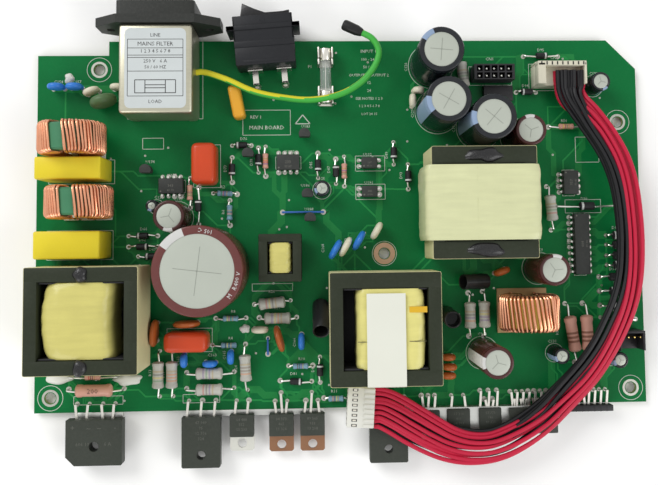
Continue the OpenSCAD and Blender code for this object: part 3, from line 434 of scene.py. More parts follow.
def new_group(name, inputs, outputs):
    """An empty node group with (label, kind, value) inputs and (label, kind) outputs, and object coordinates."""
    group = bpy.data.node_groups.new(name, "ShaderNodeTree")
    for label, kind, value in inputs:
        socket = group.interface.new_socket(name=label, in_out="INPUT", socket_type="NodeSocket" + kind)
        if value is not None:
            socket.default_value = value
    for label, kind in outputs:
        group.interface.new_socket(name=label, in_out="OUTPUT", socket_type="NodeSocket" + kind)
    given, out = group.nodes.new("NodeGroupInput"), group.nodes.new("NodeGroupOutput")
    return group, given.outputs, out.inputs, node(group, "TexCoord", {})["Object"]


def build_mottle():
    """Soft patches and fine grain in one colour, with a matching height."""
    group, given, out, coords = new_group(
        "Mottle",
        [("Colour", "Color", None), ("Patch Scale", "Float", 120.0), ("Grain Scale", "Float", 2500.0),
         ("Spread", "Float", 0.1)],
        [("Colour", "Color"), ("Height", "Float")],
    )
    patch = noise(group, coords, given["Patch Scale"])
    grain = noise(group, coords, given["Grain Scale"], 4.0, 0.65)
    both = math_node(group, "ADD", times(group, patch, 0.6), times(group, grain, 0.4))
    centred = times(group, math_node(group, "SUBTRACT", both, 0.5), given["Spread"])
    level = math_node(group, "ADD", times(group, centred, 2.0), 1.0)
    feed(group, out["Colour"], node(group, "VectorMath", {0: given["Colour"], "Scale": level}, operation="SCALE")[0])
    feed(group, out["Height"], grain)
    return group


def build_dust():
    """Pale dust that settles on surfaces that face up."""
    group, given, out, coords = new_group(
        "Settled Dust",
        [("Colour", "Color", None), ("Amount", "Float", 0.2)],
        [("Colour", "Color"), ("Mask", "Float")],
    )
    normal = node(group, "NewGeometry", {})["Normal"]
    up = math_node(group, "MAXIMUM", node(group, "SeparateXYZ", {0: normal})["Z"], 0.0)
    specks = math_node(group, "POWER", noise(group, coords, 900.0, 5.0, 0.7), 3.0)
    film = math_node(group, "ADD", times(group, specks, 0.35), times(group, noise(group, coords, 60.0), 0.05))
    mask = math_node(group, "MULTIPLY", times(group, film, up), given["Amount"], clamp=True)
    feed(group, out["Colour"], mix_colour(group, mask, given["Colour"], (0.62, 0.6, 0.55)))
    feed(group, out["Mask"], mask)
    return group


def build_lines():
    """Fine lines along one direction, as rolled or brushed metal and wound tape have."""
    group, given, out, coords = new_group(
        "Drawn Lines",
        [("Along", "Vector", (40.0, 3000.0, 3000.0)), ("Strength", "Float", 0.2)],
        [("Mask", "Float"), ("Height", "Float")],
    )
    stretched = node(group, "VectorMath", {0: coords, 1: given["Along"]}, operation="MULTIPLY")[0]
    lines = noise(group, stretched, 1.0, 2.0, 0.5)
    feed(group, out["Mask"], times(group, lines, given["Strength"]))
    feed(group, out["Height"], lines)
    return group


BUILDERS = {"Mottle": build_mottle, "Settled Dust": build_dust, "Drawn Lines": build_lines}
MADE = {}


def shared(tree, name, inputs):
    """The outputs of a shared node group, which is built the first time it is asked for."""
    return node(tree, "Group", inputs, node_tree=bpy.data.node_groups.get(name) or BUILDERS[name]())


def finish(name, colour, rough, metal=0.0, spread=0.1, patch=120.0, grain=2500.0, bump=0.15,
           dust=0.05, lines=None, coat=0.0, alpha=1.0, glass=0.0, depth=0.00005, sheen=0.2):
    """A surface finish: colour with patches and grain, dust on top, and a fine relief."""
    if name in MADE:
        return MADE[name]
    material = bpy.data.materials.new(name)
    material.use_nodes = True
    tree = material.node_tree
    shader = tree.nodes["Principled BSDF"].inputs
    for label, value in (
        ("Roughness", rough), ("Metallic", metal), ("Coat Weight", coat * 0.4), ("Transmission Weight", glass),
        ("Alpha", alpha), ("Specular IOR Level", 0.5 if metal or glass else sheen),
    ):
        shader[label].default_value = value
    mottle = shared(tree, "Mottle", {"Colour": colour, "Patch Scale": patch, "Grain Scale": grain, "Spread": spread})
    tone, height = mottle["Colour"], mottle["Height"]
    if lines:
        drawn = shared(tree, "Drawn Lines", {"Along": lines, "Strength": 0.5})
        tone = mix_colour(tree, drawn["Mask"], tone, tuple(c * 0.62 for c in colour))
        height = drawn["Height"]
    if dust > 0:
        settled = shared(tree, "Settled Dust", {"Colour": tone, "Amount": dust})
        tone = settled["Colour"]
        if not metal and not glass:
            duller = math_node(tree, "ADD", rough, times(tree, settled["Mask"], 0.35), clamp=True)
            feed(tree, shader["Roughness"], duller)
    feed(tree, shader["Base Color"], tone)
    if bump > 0:
        relief = node(tree, "Bump", {"Strength": bump, "Distance": depth, "Height": height})
        feed(tree, shader["Normal"], relief["Normal"])
    MADE[name] = material
    return material


def settings():
    """The part's own colours."""
    return bpy.context.scene.psu_looks


# ---- properties ----

def tint(name, description, colour):
    """A colour property."""
    return FloatVectorProperty(
        name=name, description=description, subtype="COLOR", size=3, min=0.0, max=1.0, default=colour,
    )


def length(name, description, default, low, high):
    """A length property."""
    return FloatProperty(
        name=name, description=description, default=default, min=low, max=high, unit="LENGTH",
    )


class PSULooks(bpy.types.PropertyGroup):
    """Colours of the power supply that a user may change."""

    mask: tint("Solder mask", "Green lacquer over the board", (0.003, 0.15, 0.038))
    track: tint("Tracks", "Lacquer where copper lies under it", (0.02, 0.26, 0.065))
    copper: tint("Copper wire", "Enamelled copper of the wound rings", (0.72, 0.33, 0.19))
    tape: tint("Winding tape", "Polyester tape round the windings", (0.68, 0.62, 0.19))
    pale_tape: tint("Pale tape", "Tape of the large transformer", (0.7, 0.72, 0.42))
    ferrite: tint("Ferrite", "Sintered cores", (0.024, 0.03, 0.018))
    sleeve_black: tint("Black sleeves", "Shrink sleeves of the output capacitors", (0.008, 0.01, 0.014))
    sleeve_brown: tint("Brown sleeves", "Shrink sleeves of the bulk and smaller capacitors", (0.13, 0.035, 0.032))
    harness_red: tint("Red wire", "Insulation of the red wires", (0.52, 0.016, 0.052))
    harness_black: tint("Black wire", "Insulation of the black wires", (0.01, 0.01, 0.012))
    earth_green: tint("Earth wire", "Green of the earth wire", (0.06, 0.42, 0.06))


class PSUSizes(bpy.types.PropertyGroup):
    """Sizes and counts of the power supply that a user may change."""

    wire_thickness: length("Wire thickness", "Outer diameter of each harness wire", 0.00175, 0.001, 0.003)
    red_wires: IntProperty(
        name="Red wires", description="Wires in the red half of the harness", default=9, min=4, max=10,
    )
    black_wires: IntProperty(
        name="Black wires", description="Wires in the black half of the harness", default=8, min=4, max=10,
    )
    track_width: length("Track width", "Width of the fine copper tracks", 0.0007, 0.0003, 0.002)
    print_width: length("Print width", "Line width of the white print", 0.00022, 0.0001, 0.0005)


def sizes():
    """The part's own sizes."""
    return bpy.context.scene.psu_sizes


# ---- cords ----

RED_ROUTE = [
    (138.52, -1.8, 8.6), (141.5, -2, 8.6), (146.5, -4.4, 8.8), (152.5, -8, 9), (160.5, -12.5, 9), (168.5, -16, 9),
    (177.5, -17.8, 9), (187.5, -17.2, 9), (197.5, -13.5, 9), (208.5, -6.5, 9.5), (218.5, 3, 10.5),
    (226.5, 11.5, 12), (232.5, 20, 13.5), (238.5, 30.5, 14), (243.5, 41.5, 13.5), (246.5, 53, 12.5),
    (247.5, 66, 12), (247, 79, 12), (245.5, 91.5, 12), (242.5, 102, 12), (237.5, 112, 11.5),
    (231.5, 121, 11), (227.6, 126.5, 9.6), (226, 130.6, 9), (226, 132.98, 9),
]
BLACK_ROUTE = [
    (138.95, 5.3, 8.6), (141.9, 5.1, 8.6), (146.4, 2.4, 8.8), (152, -0.6, 9), (160, -5, 9), (167.4, -8.8, 9),
    (176.3, -11.2, 9), (185.5, -11.5, 9), (195, -8, 9), (206, -0.4, 9.5), (215.5, 8.9, 10.5),
    (222.8, 17.1, 12), (228.4, 25.4, 13.5), (233, 34.2, 14), (237.4, 43.7, 13.5), (240.4, 54, 12.5),
    (241.4, 66, 12), (241, 78, 12), (239.5, 90, 12), (236.5, 100, 12), (232, 109, 11.5),
    (226, 118, 11), (220.6, 126, 9.6), (219, 130.4, 9), (219, 132.98, 9),
]
EARTH_ROUTE = [
    (67.52, 138.5, 10.5), (71, 138.5, 10.5), (80, 135.4, 10.8), (91, 130.5, 10.5), (103, 128, 10),
    (114.5, 127, 10.2), (126, 129, 11), (134.5, 133.5, 12), (140, 139.5, 12.5),
    (142.4, 145.2, 12.3), (141.6, 149.4, 12.1), (139.4, 152.4, 11.8), (137.2, 153.9, 11.3),
    (135.8, 154.6, 11.1),
]


def smooth_path(points, steps=5):
    """A smooth line through points (Catmull-Rom), as vectors."""
    pts = [Vector(p) for p in points]
    pts = [pts[0] * 2 - pts[1], *pts, pts[-1] * 2 - pts[-2]]
    line = []
    for a, b, c, d in zip(pts, pts[1:], pts[2:], pts[3:]):
        for i in range(steps):
            t = i / steps
            bow, twist = 2 * a - 5 * b + 4 * c - d, 3 * b - a - 3 * c + d
            line.append(0.5 * (2 * b + (c - a) * t + bow * t * t + twist * t ** 3))
    line.append(pts[-2])
    return line


# how the wires lie along the harness, from the free plug to the board: share of the length,
# how far they spread into one flat row, and how far the red half lies over the black one
LAY = [(0, 1, 1), (0.12, 1, 1), (0.3, 0.6, 0.6), (0.45, 0.12, 0), (0.82, 0.08, 0), (0.93, 0.6, -1), (1, 0.72, -1)]


def along_lay(share):
    """Flatness and overlap at a share of the harness's length."""
    for (s0, f0, o0), (s1, f1, o1) in zip(LAY, LAY[1:]):
        if share <= s1:
            t = (share - s0) / (s1 - s0)
            t = t * t * (3 - 2 * t)
            return f0 + (f1 - f0) * t, o0 + (o1 - o0) * t
    return LAY[-1][1:]


def lay_bundle(route, count, seed, radius, half):
    """Centre lines of separate wires that follow one route: three deep at the side, one flat row at the ends."""
    rng = random.Random(seed)
    guide = smooth_path([place(*p) for p in route], 6)
    guide += [guide[-1] + Vector((0, step, 0)) * MM for step in (2, 4, 6)]
    pitch = radius * 2.04
    total = len(guide) - 1
    lines = []
    for n in range(count):
        packed = ((n // 3 - (count - 1) // 3 / 2) * pitch, (n % 3 - 1) * pitch * 0.9)
        row = (n - (count - 1) / 2 + rng.uniform(-0.25, 0.25)) * pitch
        p1, p2 = rng.uniform(0, 6.28), rng.uniform(0, 6.28)
        line = []
        for i, here in enumerate(guide):
            ahead = (guide[min(i + 1, total)] - guide[max(i - 1, 0)]).normalized()
            side = ahead.cross(Vector((0, 0, 1))).normalized()
            up = side.cross(ahead)
            share = i / total
            flat, over = along_lay(share)
            loose = sin(pi * share) ** 0.5 if 0 < share < 1 else 0.0
            across = packed[0] * (1 - flat) + row * flat - half * (0.8 + 2.6 * min(1, abs(over))) * MM
            rise = packed[1] * (1 - flat) + half * over * radius * 1.05
            across += 0.75 * radius * loose * sin(9 * share + p1)
            rise += 0.55 * radius * loose * sin(7 * share + p2)
            line.append(here + side * across + up * rise)
        lines.append(line)
    return lines


class PSU_OT_cords(bpy.types.Operator):
    """Builds the free plug, the wires of the harness and the earth wire"""

    bl_idname = "psu.cords"
    bl_label = "Cords"

    def execute(self, context):
        looks = settings()
        red = finish("red_insulation", looks.harness_red, 0.38, spread=0.12, patch=60, bump=0.1, dust=0.1)
        black = finish("black_insulation", looks.harness_black, 0.42, spread=0.2, patch=60, bump=0.1, dust=0.12)
        radius = sizes().wire_thickness / 2
        plug = free_plug()
        number = 0
        for route, count, seed, look, node, half in (
            (RED_ROUTE, sizes().red_wires, 4, red, "harness_red", 1),
            (BLACK_ROUTE, sizes().black_wires, 9, black, "harness_black", -1),
        ):
            for line in lay_bundle(route, count, seed, radius, half):
                number += 1
                shape = Shape()
                shape.wire(line, radius, 0, 8)
                obj = shape.piece(f"{node}_wire_{number:02d}", [look], [node])
        earth_lead()
        return {"FINISHED"}


def free_plug():
    """The white two-row plug at the harness's loose end."""
    white = finish("plug_nylon", (0.72, 0.72, 0.66), 0.42, spread=0.08, dust=0.2, bump=0.1)
    # near black for the plug's wire entries and contact openings, which are not cut: painted shade
    dark = finish("plug_hole_shade", (0.05, 0.05, 0.05), 0.7)
    metal = finish("plug_crimps", (0.75, 0.72, 0.62), 0.3, metal=1.0)
    at = Matrix.Translation(place(133.2, 2, 5.4)) @ Matrix.Rotation(radians(-3.5), 4, "Z")
    shape = Shape()
    shape.local((-5.5, -8, 0), (5.5, 8, 6.4), 0, 0.5, at)
    for i in range(8):
        y = -7 + 2 * i
        # dark squares on the plug's end for the wire entries, and dark slots on its top round the crimps: painted shade
        # of openings that are not cut
        for z in (1.7, 4.7):
            shape.local((-5.52, y - 0.55, z - 0.55), (-5.2, y + 0.55, z + 0.55), 1, 0, at)
        shape.local((-3.6, y - 0.5, 6.38), (-1.4, y + 0.5, 6.46), 1, 0, at)
        shape.local((-3.2, y - 0.3, 6.4), (-1.8, y + 0.3, 6.5), 2, 0, at)
        shape.local((1.2, y - 0.62, 6.39), (5.4, y + 0.62, 6.7), 0, 0.1, at)
    return shape.piece("harness_plug_body", [white, dark, metal], ["harness_plug"])


def earth_lead():
    """The green and yellow earth wire with its sleeved end."""
    looks = settings()
    line = smooth_path([place(*p) for p in EARTH_ROUTE], 8)
    green = finish("earth_green", looks.earth_green, 0.4, spread=0.08, patch=60, bump=0.1, dust=0.06)
    yellow = finish("earth_yellow", (0.66, 0.6, 0.03), 0.4, spread=0.08, patch=60, bump=0.1, dust=0.06)
    shape = Shape()
    shape.wire(line, 1.3 * MM, 0, 18, stripe=(1, 0.34, 0.8))
    wire = shape.piece("earth_wire_lead", [green, yellow], ["earth_wire"])
    black = finish("sleeve_tube", (0.012, 0.012, 0.013), 0.4, spread=0.2, dust=0.12, bump=0.2)
    metal = finish("tinned_tag", (0.72, 0.7, 0.64), 0.32, metal=1.0)
    tip = Shape()
    foot, head = place(*EARTH_ROUTE[-1]), place(128, 158.5, 10)
    tip.turned(foot, head, [(0, 1.45), (0.06, 1.7), (0.3, 2.2), (0.9, 2.3), (0.96, 2.15), (1.0, 1.9)], 0, 24)
    end = tip.piece("earth_terminal_sleeve", [black, metal], ["earth_terminal"])


# ---- board ----

BOARD_CORNERS = [
    (0, 0), (BOARD_W, 0), (BOARD_W, BOARD_D - CORNER_CUT), (BOARD_W - CORNER_CUT, BOARD_D),
    (STEP_X, BOARD_D), (STEP_X, STEP_Y), (0, STEP_Y),
]


# clear of the mounting holes, and the shortest and longest drawn track, in millimetres
HOLE_CLEARANCE = 6.5
SHORTEST_TRACK = 3
LONGEST_TRACK = 42
VIAS = 70
PRINT_THICK = 0.015 * MM


def lead_points():
    """Where leads go through the board, read from the joints under it, in millimetres."""
    bm = welded("solder_side")
    ceiling = min(v.co.z for v in bm.verts) + 1e-5
    points = [board_xy(sum(group, Vector()) / len(group)) for group in islands(bm, ceiling)]
    bm.free()
    return sorted(points)


def on_board(x, y, margin=1.5):
    """Whether a point lies on the board and off its mounting holes."""
    if not (margin < x < BOARD_W - margin and margin < y < BOARD_D - margin):
        return False
    if x < STEP_X + margin and y > STEP_Y - margin or x + y > BOARD_W + BOARD_D - CORNER_CUT - margin * 2:
        return False
    return all(hypot(x - hx, y - hy) > HOLE_CLEARANCE for hx, hy in MOUNT_HOLES)


def draw_tracks(shape, points, z, width, seed, slot, wide_slot):
    """Tracks that join neighbouring leads with runs along the axes and at 45 degrees."""
    rng = random.Random(seed)
    drawn = []
    for x, y in points:
        near = sorted(points, key=lambda p: hypot(p[0] - x, p[1] - y))[1:7]
        for px, py in rng.sample(near, 3):
            reach = hypot(px - x, py - y)
            if not SHORTEST_TRACK < reach < LONGEST_TRACK or rng.random() < 0.15:
                continue
            dx, dy = px - x, py - y
            diagonal = min(abs(dx), abs(dy)) * rng.choice((0.5, 0.8, 1.0))
            sx, sy = copysign(1, dx), copysign(1, dy)
            if abs(dx) > abs(dy):
                bend = [
                    (x, y), (x + sx * (abs(dx) - diagonal) / 2, y),
                    (x + sx * (abs(dx) + diagonal) / 2, y + sy * diagonal),
                ]
                bend += [(px, y + sy * diagonal)] if diagonal < abs(dy) else []
            else:
                bend = [
                    (x, y), (x, y + sy * (abs(dy) - diagonal) / 2),
                    (x + sx * diagonal, y + sy * (abs(dy) + diagonal) / 2),
                ]
                bend += [(x + sx * diagonal, py)] if diagonal < abs(dx) else []
            bend.append((px, py))
            if not all(on_board(*p, 1.0) for p in bend):
                continue
            clean = [bend[0]]
            for p in bend[1:]:
                if hypot(p[0] - clean[-1][0], p[1] - clean[-1][1]) > 0.05:
                    clean.append(p)
            drawn.append(clean)
    for line in drawn:
        wide = rng.random()
        breadth = width * (1.0 if wide < 0.7 else rng.uniform(2.0, 4.5))
        lift = rng.uniform(0, 0.012) * MM
        shape.ribbon([plan(*p) for p in line], breadth, z + lift, wide_slot if wide >= 0.7 else slot, 0.02 * MM)


def print_outline(shape, x, y, w, d, z):
    """A printed rectangle round a part."""
    x0, y0, x1, y1 = x - w / 2, y - d / 2, x + w / 2, y + d / 2
    corners = [(x0, y0), (x1, y0), (x1, y1), (x0, y1)]
    for a, b in zip(corners, corners[1:] + corners[:1]):
        shape.ribbon([plan(*a), plan(*b)], sizes().print_width, z, 0, PRINT_THICK)


def print_circle(shape, x, y, r, z):
    """A printed ring round a can."""
    shape.pad(plan(x, y), r * MM, r * MM + sizes().print_width, z, 0, PRINT_THICK, 40)


PRINTED_NOTES = [
    ("MAIN BOARD", 2.4, 95.5, 117), ("REV 1", 2.0, 91, 121.5), ("F1", 1.8, 114, 143),
    ("L      N", 1.8, 98, 130.3), ("INPUT 1", 1.9, 139, 149.5), ("100 - 240", 1.7, 139, 146),
    ("50 / 60", 1.7, 139, 142.7), ("OUTPUT 1  OUTPUT 2", 1.7, 139, 139.2), ("12", 1.7, 139, 136),
    ("24", 1.7, 139, 132.6), ("SEE NOTES 1 2 3", 1.6, 139, 129.2), ("1 2 3 4 5 6 7 8", 1.5, 139, 126),
    ("LOT 24 15", 1.5, 139, 122.6), ("CN1", 1.8, 191, 146), ("CN2", 1.8, 219, 146.4),
]


def print_numbers(shape, z):
    """Plain reference numbers beside the parts."""
    rng = random.Random(31)
    letters = (
        ("blue_resistors", "R"), ("grey_resistors", "R"), ("pink_resistors", "R"), ("diode_bodies", "D"),
        ("black_capacitors", "C"), ("brown_capacitors", "C"), ("blue_disc_capacitors", "C"), ("moulded_packages", "U"),
    )
    number = 1
    for node, letter in letters:
        for low, high in spans(node):
            middle = (low + high) / 2
            wide, deep = high.x - low.x, high.y - low.y
            if deep > wide:
                spot = (low.x - 1.6 * MM, middle.y + rng.uniform(-1, 1) * MM)
                turn = 90
            else:
                spot = (middle.x + rng.uniform(-1, 1) * MM, high.y + 1.5 * MM)
                turn = 0
            number += rng.randint(1, 4)
            text_mesh(f"{letter}{number}", 1.7 * MM, spot, turn, 0, shape, z)


class PSU_OT_board(bpy.types.Operator):
    """Builds the board, its copper, print, pads and the soldered side"""

    bl_idname = "psu.board"
    bl_label = "Board"

    def execute(self, context):
        looks = settings()
        lacquer = {"bump": 0.08, "dust": 0.05, "sheen": 0.1}
        mask = finish("solder_mask", looks.mask, 0.3, spread=0.3, patch=35, grain=1500, **lacquer)
        edge = finish(
            "laminate_edge", (0.32, 0.36, 0.14), 0.7, spread=0.25, patch=300, lines=(60.0, 60.0, 6000.0), dust=0,
        )
        board = Shape()
        holes = [ring_points(x, y, HOLE_R, 40) for x, y in MOUNT_HOLES]
        raise_outline(board, BOARD_CORNERS, -BOARD_T, 0, 0, Matrix.Translation(place(0, 0)), holes=holes, wall=1)
        board.piece("board_laminate", [mask, edge], ["board"], smooth=20)

        track = finish("covered_tracks", looks.track, 0.28, spread=0.2, patch=80, **lacquer)
        darker = tuple(c * 0.82 for c in looks.track)
        wide = finish("covered_copper", darker, 0.3, spread=0.25, patch=60, **lacquer)
        tin = finish("tinned_pads", (0.45, 0.45, 0.4), 0.34, metal=0.8, spread=0.2, patch=500, bump=0.2)
        copper = finish("bare_copper", (0.42, 0.27, 0.17), 0.4, metal=0.7, spread=0.2, patch=300)
        points = lead_points()
        top = BOARD_T * MM
        lines = Shape()
        draw_tracks(lines, points, top, sizes().track_width, 12, 0, 1)
        rng = random.Random(5)
        for x, y in points:
            if on_board(x, y, 0.5):
                lines.pad(plan(x, y), 0, rng.choice((0.85, 1.0, 1.15)) * MM, top + 0.03 * MM, 2, 0.03 * MM, 16)
        for _ in range(VIAS):
            x, y = rng.uniform(4, 250), rng.uniform(4, 150)
            if on_board(x, y, 3):
                lines.pad(plan(x, y), 0.18 * MM, 0.45 * MM, top + 0.03 * MM, 2, 0.02 * MM, 12)
        for x, y in MOUNT_HOLES:
            centre = plan(x, y)
            bare = 3 if (x, y) == (144.5, 63.5) else 2
            lines.pad(
                centre, (HOLE_R + 0.25) * MM, (HOLE_R + (1.2 if bare == 2 else 2.3)) * MM, top + 0.02 * MM, bare,
                0.03 * MM, 40,
            )
        lines.piece("board_copper", [track, wide, tin, copper], ())

        white = finish("white_print", (0.6, 0.66, 0.58), 0.55, spread=0.15, patch=600, dust=0.1, bump=0.05)
        ink = Shape()
        level = top + 0.045 * MM
        print_numbers(ink, level)
        for words, size, x, y in PRINTED_NOTES:
            text_mesh(words, size * MM, plan(x, y), 0, 0, ink, level)
        for node in ("black_capacitors", "brown_capacitors"):
            for can in solids(node):
                x, y, diameter, _ = round_place(can)
                print_circle(ink, x, y, diameter / 2 + 0.5, level)
        for x, y, w, d in (
            (95.5, 119.2, 20, 10.6), (48, 110.6, 8.7, 4.6), (232, 106.7, 10, 10.8), (229.5, 82.5, 15.3, 5.6),
            (53, 139, 31.5, 36), (97.5, 50, 16.8, 3), (191, 138.7, 18.5, 8), (218.7, 138, 22, 11.5),
            (18.5, 98.9, 27.2, 10), (18, 68.4, 27.2, 12), (70.5, 100.9, 11.2, 18), (63.2, 28.7, 18.6, 9.6),
            (227.5, 66.5, 5.2, 26.5), (223.5, 92.5, 5.2, 11), (26, 4.8, 20, 3.4), (68, 4.8, 15, 3.4),
            (104.5, 102, 10.6, 5.2), (56, 92.5, 11, 5.2), (139, 101.5, 12.4, 6.4), (139, 89.5, 12.4, 6.4),
        ):
            print_outline(ink, x, y, w, d, level)
        for x, y in MOUNT_HOLES:
            print_circle(ink, x, y, 5.0, level)
        triangle = [(107.6, 118.6), (113.8, 118.6), (110.7, 122.4), (107.6, 118.6)]
        for a, b in zip(triangle, triangle[1:]):
            ink.ribbon([plan(*a), plan(*b)], 0.4 * MM, level, 0, PRINT_THICK)
        ink.piece("board_print", [white], ())
        soldered_side(points, mask, track, tin)
        return {"FINISHED"}


def soldered_side(points, mask, track, tin):
    """The underside: broad copper areas, and a cone of solder with a lead end at each lead."""
    rng = random.Random(8)
    under = Shape()
    level = -0.06 * MM
    draw_tracks(under, points, level, 2.2 * sizes().track_width, 44, 1, 1)
    for x, y in points:
        c = place(x, y)
        foot = Vector((c.x, c.y, -0.02 * MM))
        tall = rng.uniform(0.85, 1.15) * MM
        r = rng.uniform(1.0, 1.2)
        under.turned(
            foot, foot - Vector((0, 0, tall)),
            [(0, r), (0.12, r * 0.96), (0.35, r * 0.66), (0.6, r * 0.44), (0.82, r * 0.36), (0.86, 0.3), (1, 0.28)],
            2, 12,
        )
    for x, y in MOUNT_HOLES:
        c = place(x, y)
        under.pad((c.x, c.y), (HOLE_R + 0.2) * MM, (HOLE_R + 2.4) * MM, -0.06 * MM, 2, 0.03 * MM, 40)
    under.piece("soldered_side", [mask, track, tin], ["solder_side"])


# ---- mains inlet ----

# centre of the inlet's flange in the row frame
INLET_CENTRE = (-74, 150, 12.6)


class PSU_OT_inlet(bpy.types.Operator):
    """Builds the filter can, its rating plate, the inlet flange and the blades"""

    bl_idname = "psu.inlet"
    bl_label = "Mains inlet"

    def execute(self, context):
        steel = finish(
            "plated_steel", (0.5, 0.48, 0.37), 0.36, metal=0.9, spread=0.2, patch=70, lines=(30.0, 2500.0, 2500.0),
            bump=0.12, dust=0.15,
        )
        label = finish("rating_plate", (0.57, 0.61, 0.61), 0.45, metal=0.0, spread=0.12, patch=90, dust=0.1, bump=0.05)
        ink = finish("dark_print", (0.05, 0.05, 0.05), 0.6, spread=0.2)
        low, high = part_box("inlet_can")
        low, high = Vector(low), Vector(high)
        can = Shape()
        can.box(low, high, 0, 1.3 * MM, None, 3)
        for x in (low.x + 3 * MM, high.x - 3 * MM):
            can.box(
                (x - 1.4 * MM, low.y - 0.1 * MM, low.z + 0.5 * MM), (x + 1.4 * MM, low.y + 1 * MM, low.z + 7 * MM), 0,
                0.3 * MM,
            )
        top = high.z
        x0, x1 = low.x + 2.4 * MM, high.x - 2.4 * MM
        y0, y1 = low.y + 2 * MM, high.y - 2 * MM
        plate = rounded((x1 - x0) / 2 / MM, (y1 - y0) / 2 / MM, 2.2)
        raise_outline(can, plate, -0.05, 0.12, 1, Matrix.Translation(((x0 + x1) / 2, (y0 + y1) / 2, top)))
        level = top + 0.12 * MM
        for words, size, share in (
            ("LINE", 2.0, 0.91), ("MAINS FILTER", 2.3, 0.8), ("1 2 3 4 5 6 7 8", 2.0, 0.71),
            ("250 V   6 A", 2.0, 0.585), ("50 / 60 HZ", 1.9, 0.51), ("LOAD", 2.0, 0.08),
        ):
            text_mesh(words, size * MM, ((x0 + x1) / 2, y0 + (y1 - y0) * share), 0, 2, can, level + 0.03 * MM)
        cx, cy = (x0 + x1) / 2, y0 + (y1 - y0) * 0.27
        drawing = [(-8, y, 8, y) for y in (2.6, -2.6)] + [(x, 2.6, x, -2.6) for x in (-8, 8, -4, 4)]
        drawing += [(-4, y, 4, y) for y in (0.6, -0.6)]
        for ax, ay, bx, by in drawing:
            ends = [(cx + ax * MM, cy + ay * MM), (cx + bx * MM, cy + by * MM)]
            can.ribbon(ends, 0.3 * MM, level, 2, 0.04 * MM)
        side = (x0 + 1.2 * MM, x1 - 1.2 * MM)
        heights = [y0 + (y1 - y0) * share for share in (0.86, 0.75, 0.66, 0.63, 0.46, 0.15)]
        for y in heights:
            can.ribbon([(side[0], y), (side[1], y)], 0.22 * MM, level, 2, 0.03 * MM)
        for x in side:
            can.ribbon([(x, heights[0]), (x, heights[-1])], 0.22 * MM, level, 2, 0.03 * MM)
        can.piece("inlet_can_shell", [steel, label, ink], ["inlet_can"])

        black = finish("inlet_moulding", (0.02, 0.022, 0.02), 0.42, spread=0.25, patch=100, dust=0.22)
        flange = Shape()
        outline = [(-25, -5), (-15.5, -12), (15.5, -12), (25, -5), (25, 5), (15.5, 12), (-15.5, 12), (-25, 5)]
        turned = Matrix(((-1, 0, 0), (0, 0, 1), (0, 1, 0))).to_4x4()
        matrix = Matrix.Translation(Vector(INLET_CENTRE) * MM) @ turned
        window = [(-12, 8.4), (12, 8.4), (12, -5.4), (9, -8.4), (-9, -8.4), (-12, -5.4)]
        raise_outline(
            flange, outline, 0, 3.5, 0, matrix, holes=[ring_points(-20, 0, 1.75), ring_points(20, 0, 1.75), window],
        )
        raise_outline(flange, rounded(15.5, 12, 2), 3.5, 9, 0, matrix, holes=[window])
        raise_outline(flange, rounded(13, 9.4, 0.6), -9.5, 0, 0, matrix, holes=[window])
        raise_outline(flange, rounded(13, 9.4, 0.6), -9.5, -8.01, 0, matrix)
        flange.piece("inlet_flange_moulding", [black], ["inlet_flange"], smooth=30)

        plate = finish(
            "plated_blades", (0.7, 0.68, 0.6), 0.22, metal=1.0, dust=0.02, lines=(900.0, 40.0, 900.0), bump=0.05,
        )
        plain_boxes("inlet_blade_set", "inlet_blades", plate, 0.35)
        return {"FINISHED"}


# ---- rocker switch and fuse ----

SWITCH_CENTRE = (95, 156.2)
SWITCH_TURN = 4.5
FUSE_X = 120.5
FUSE_Z = 4


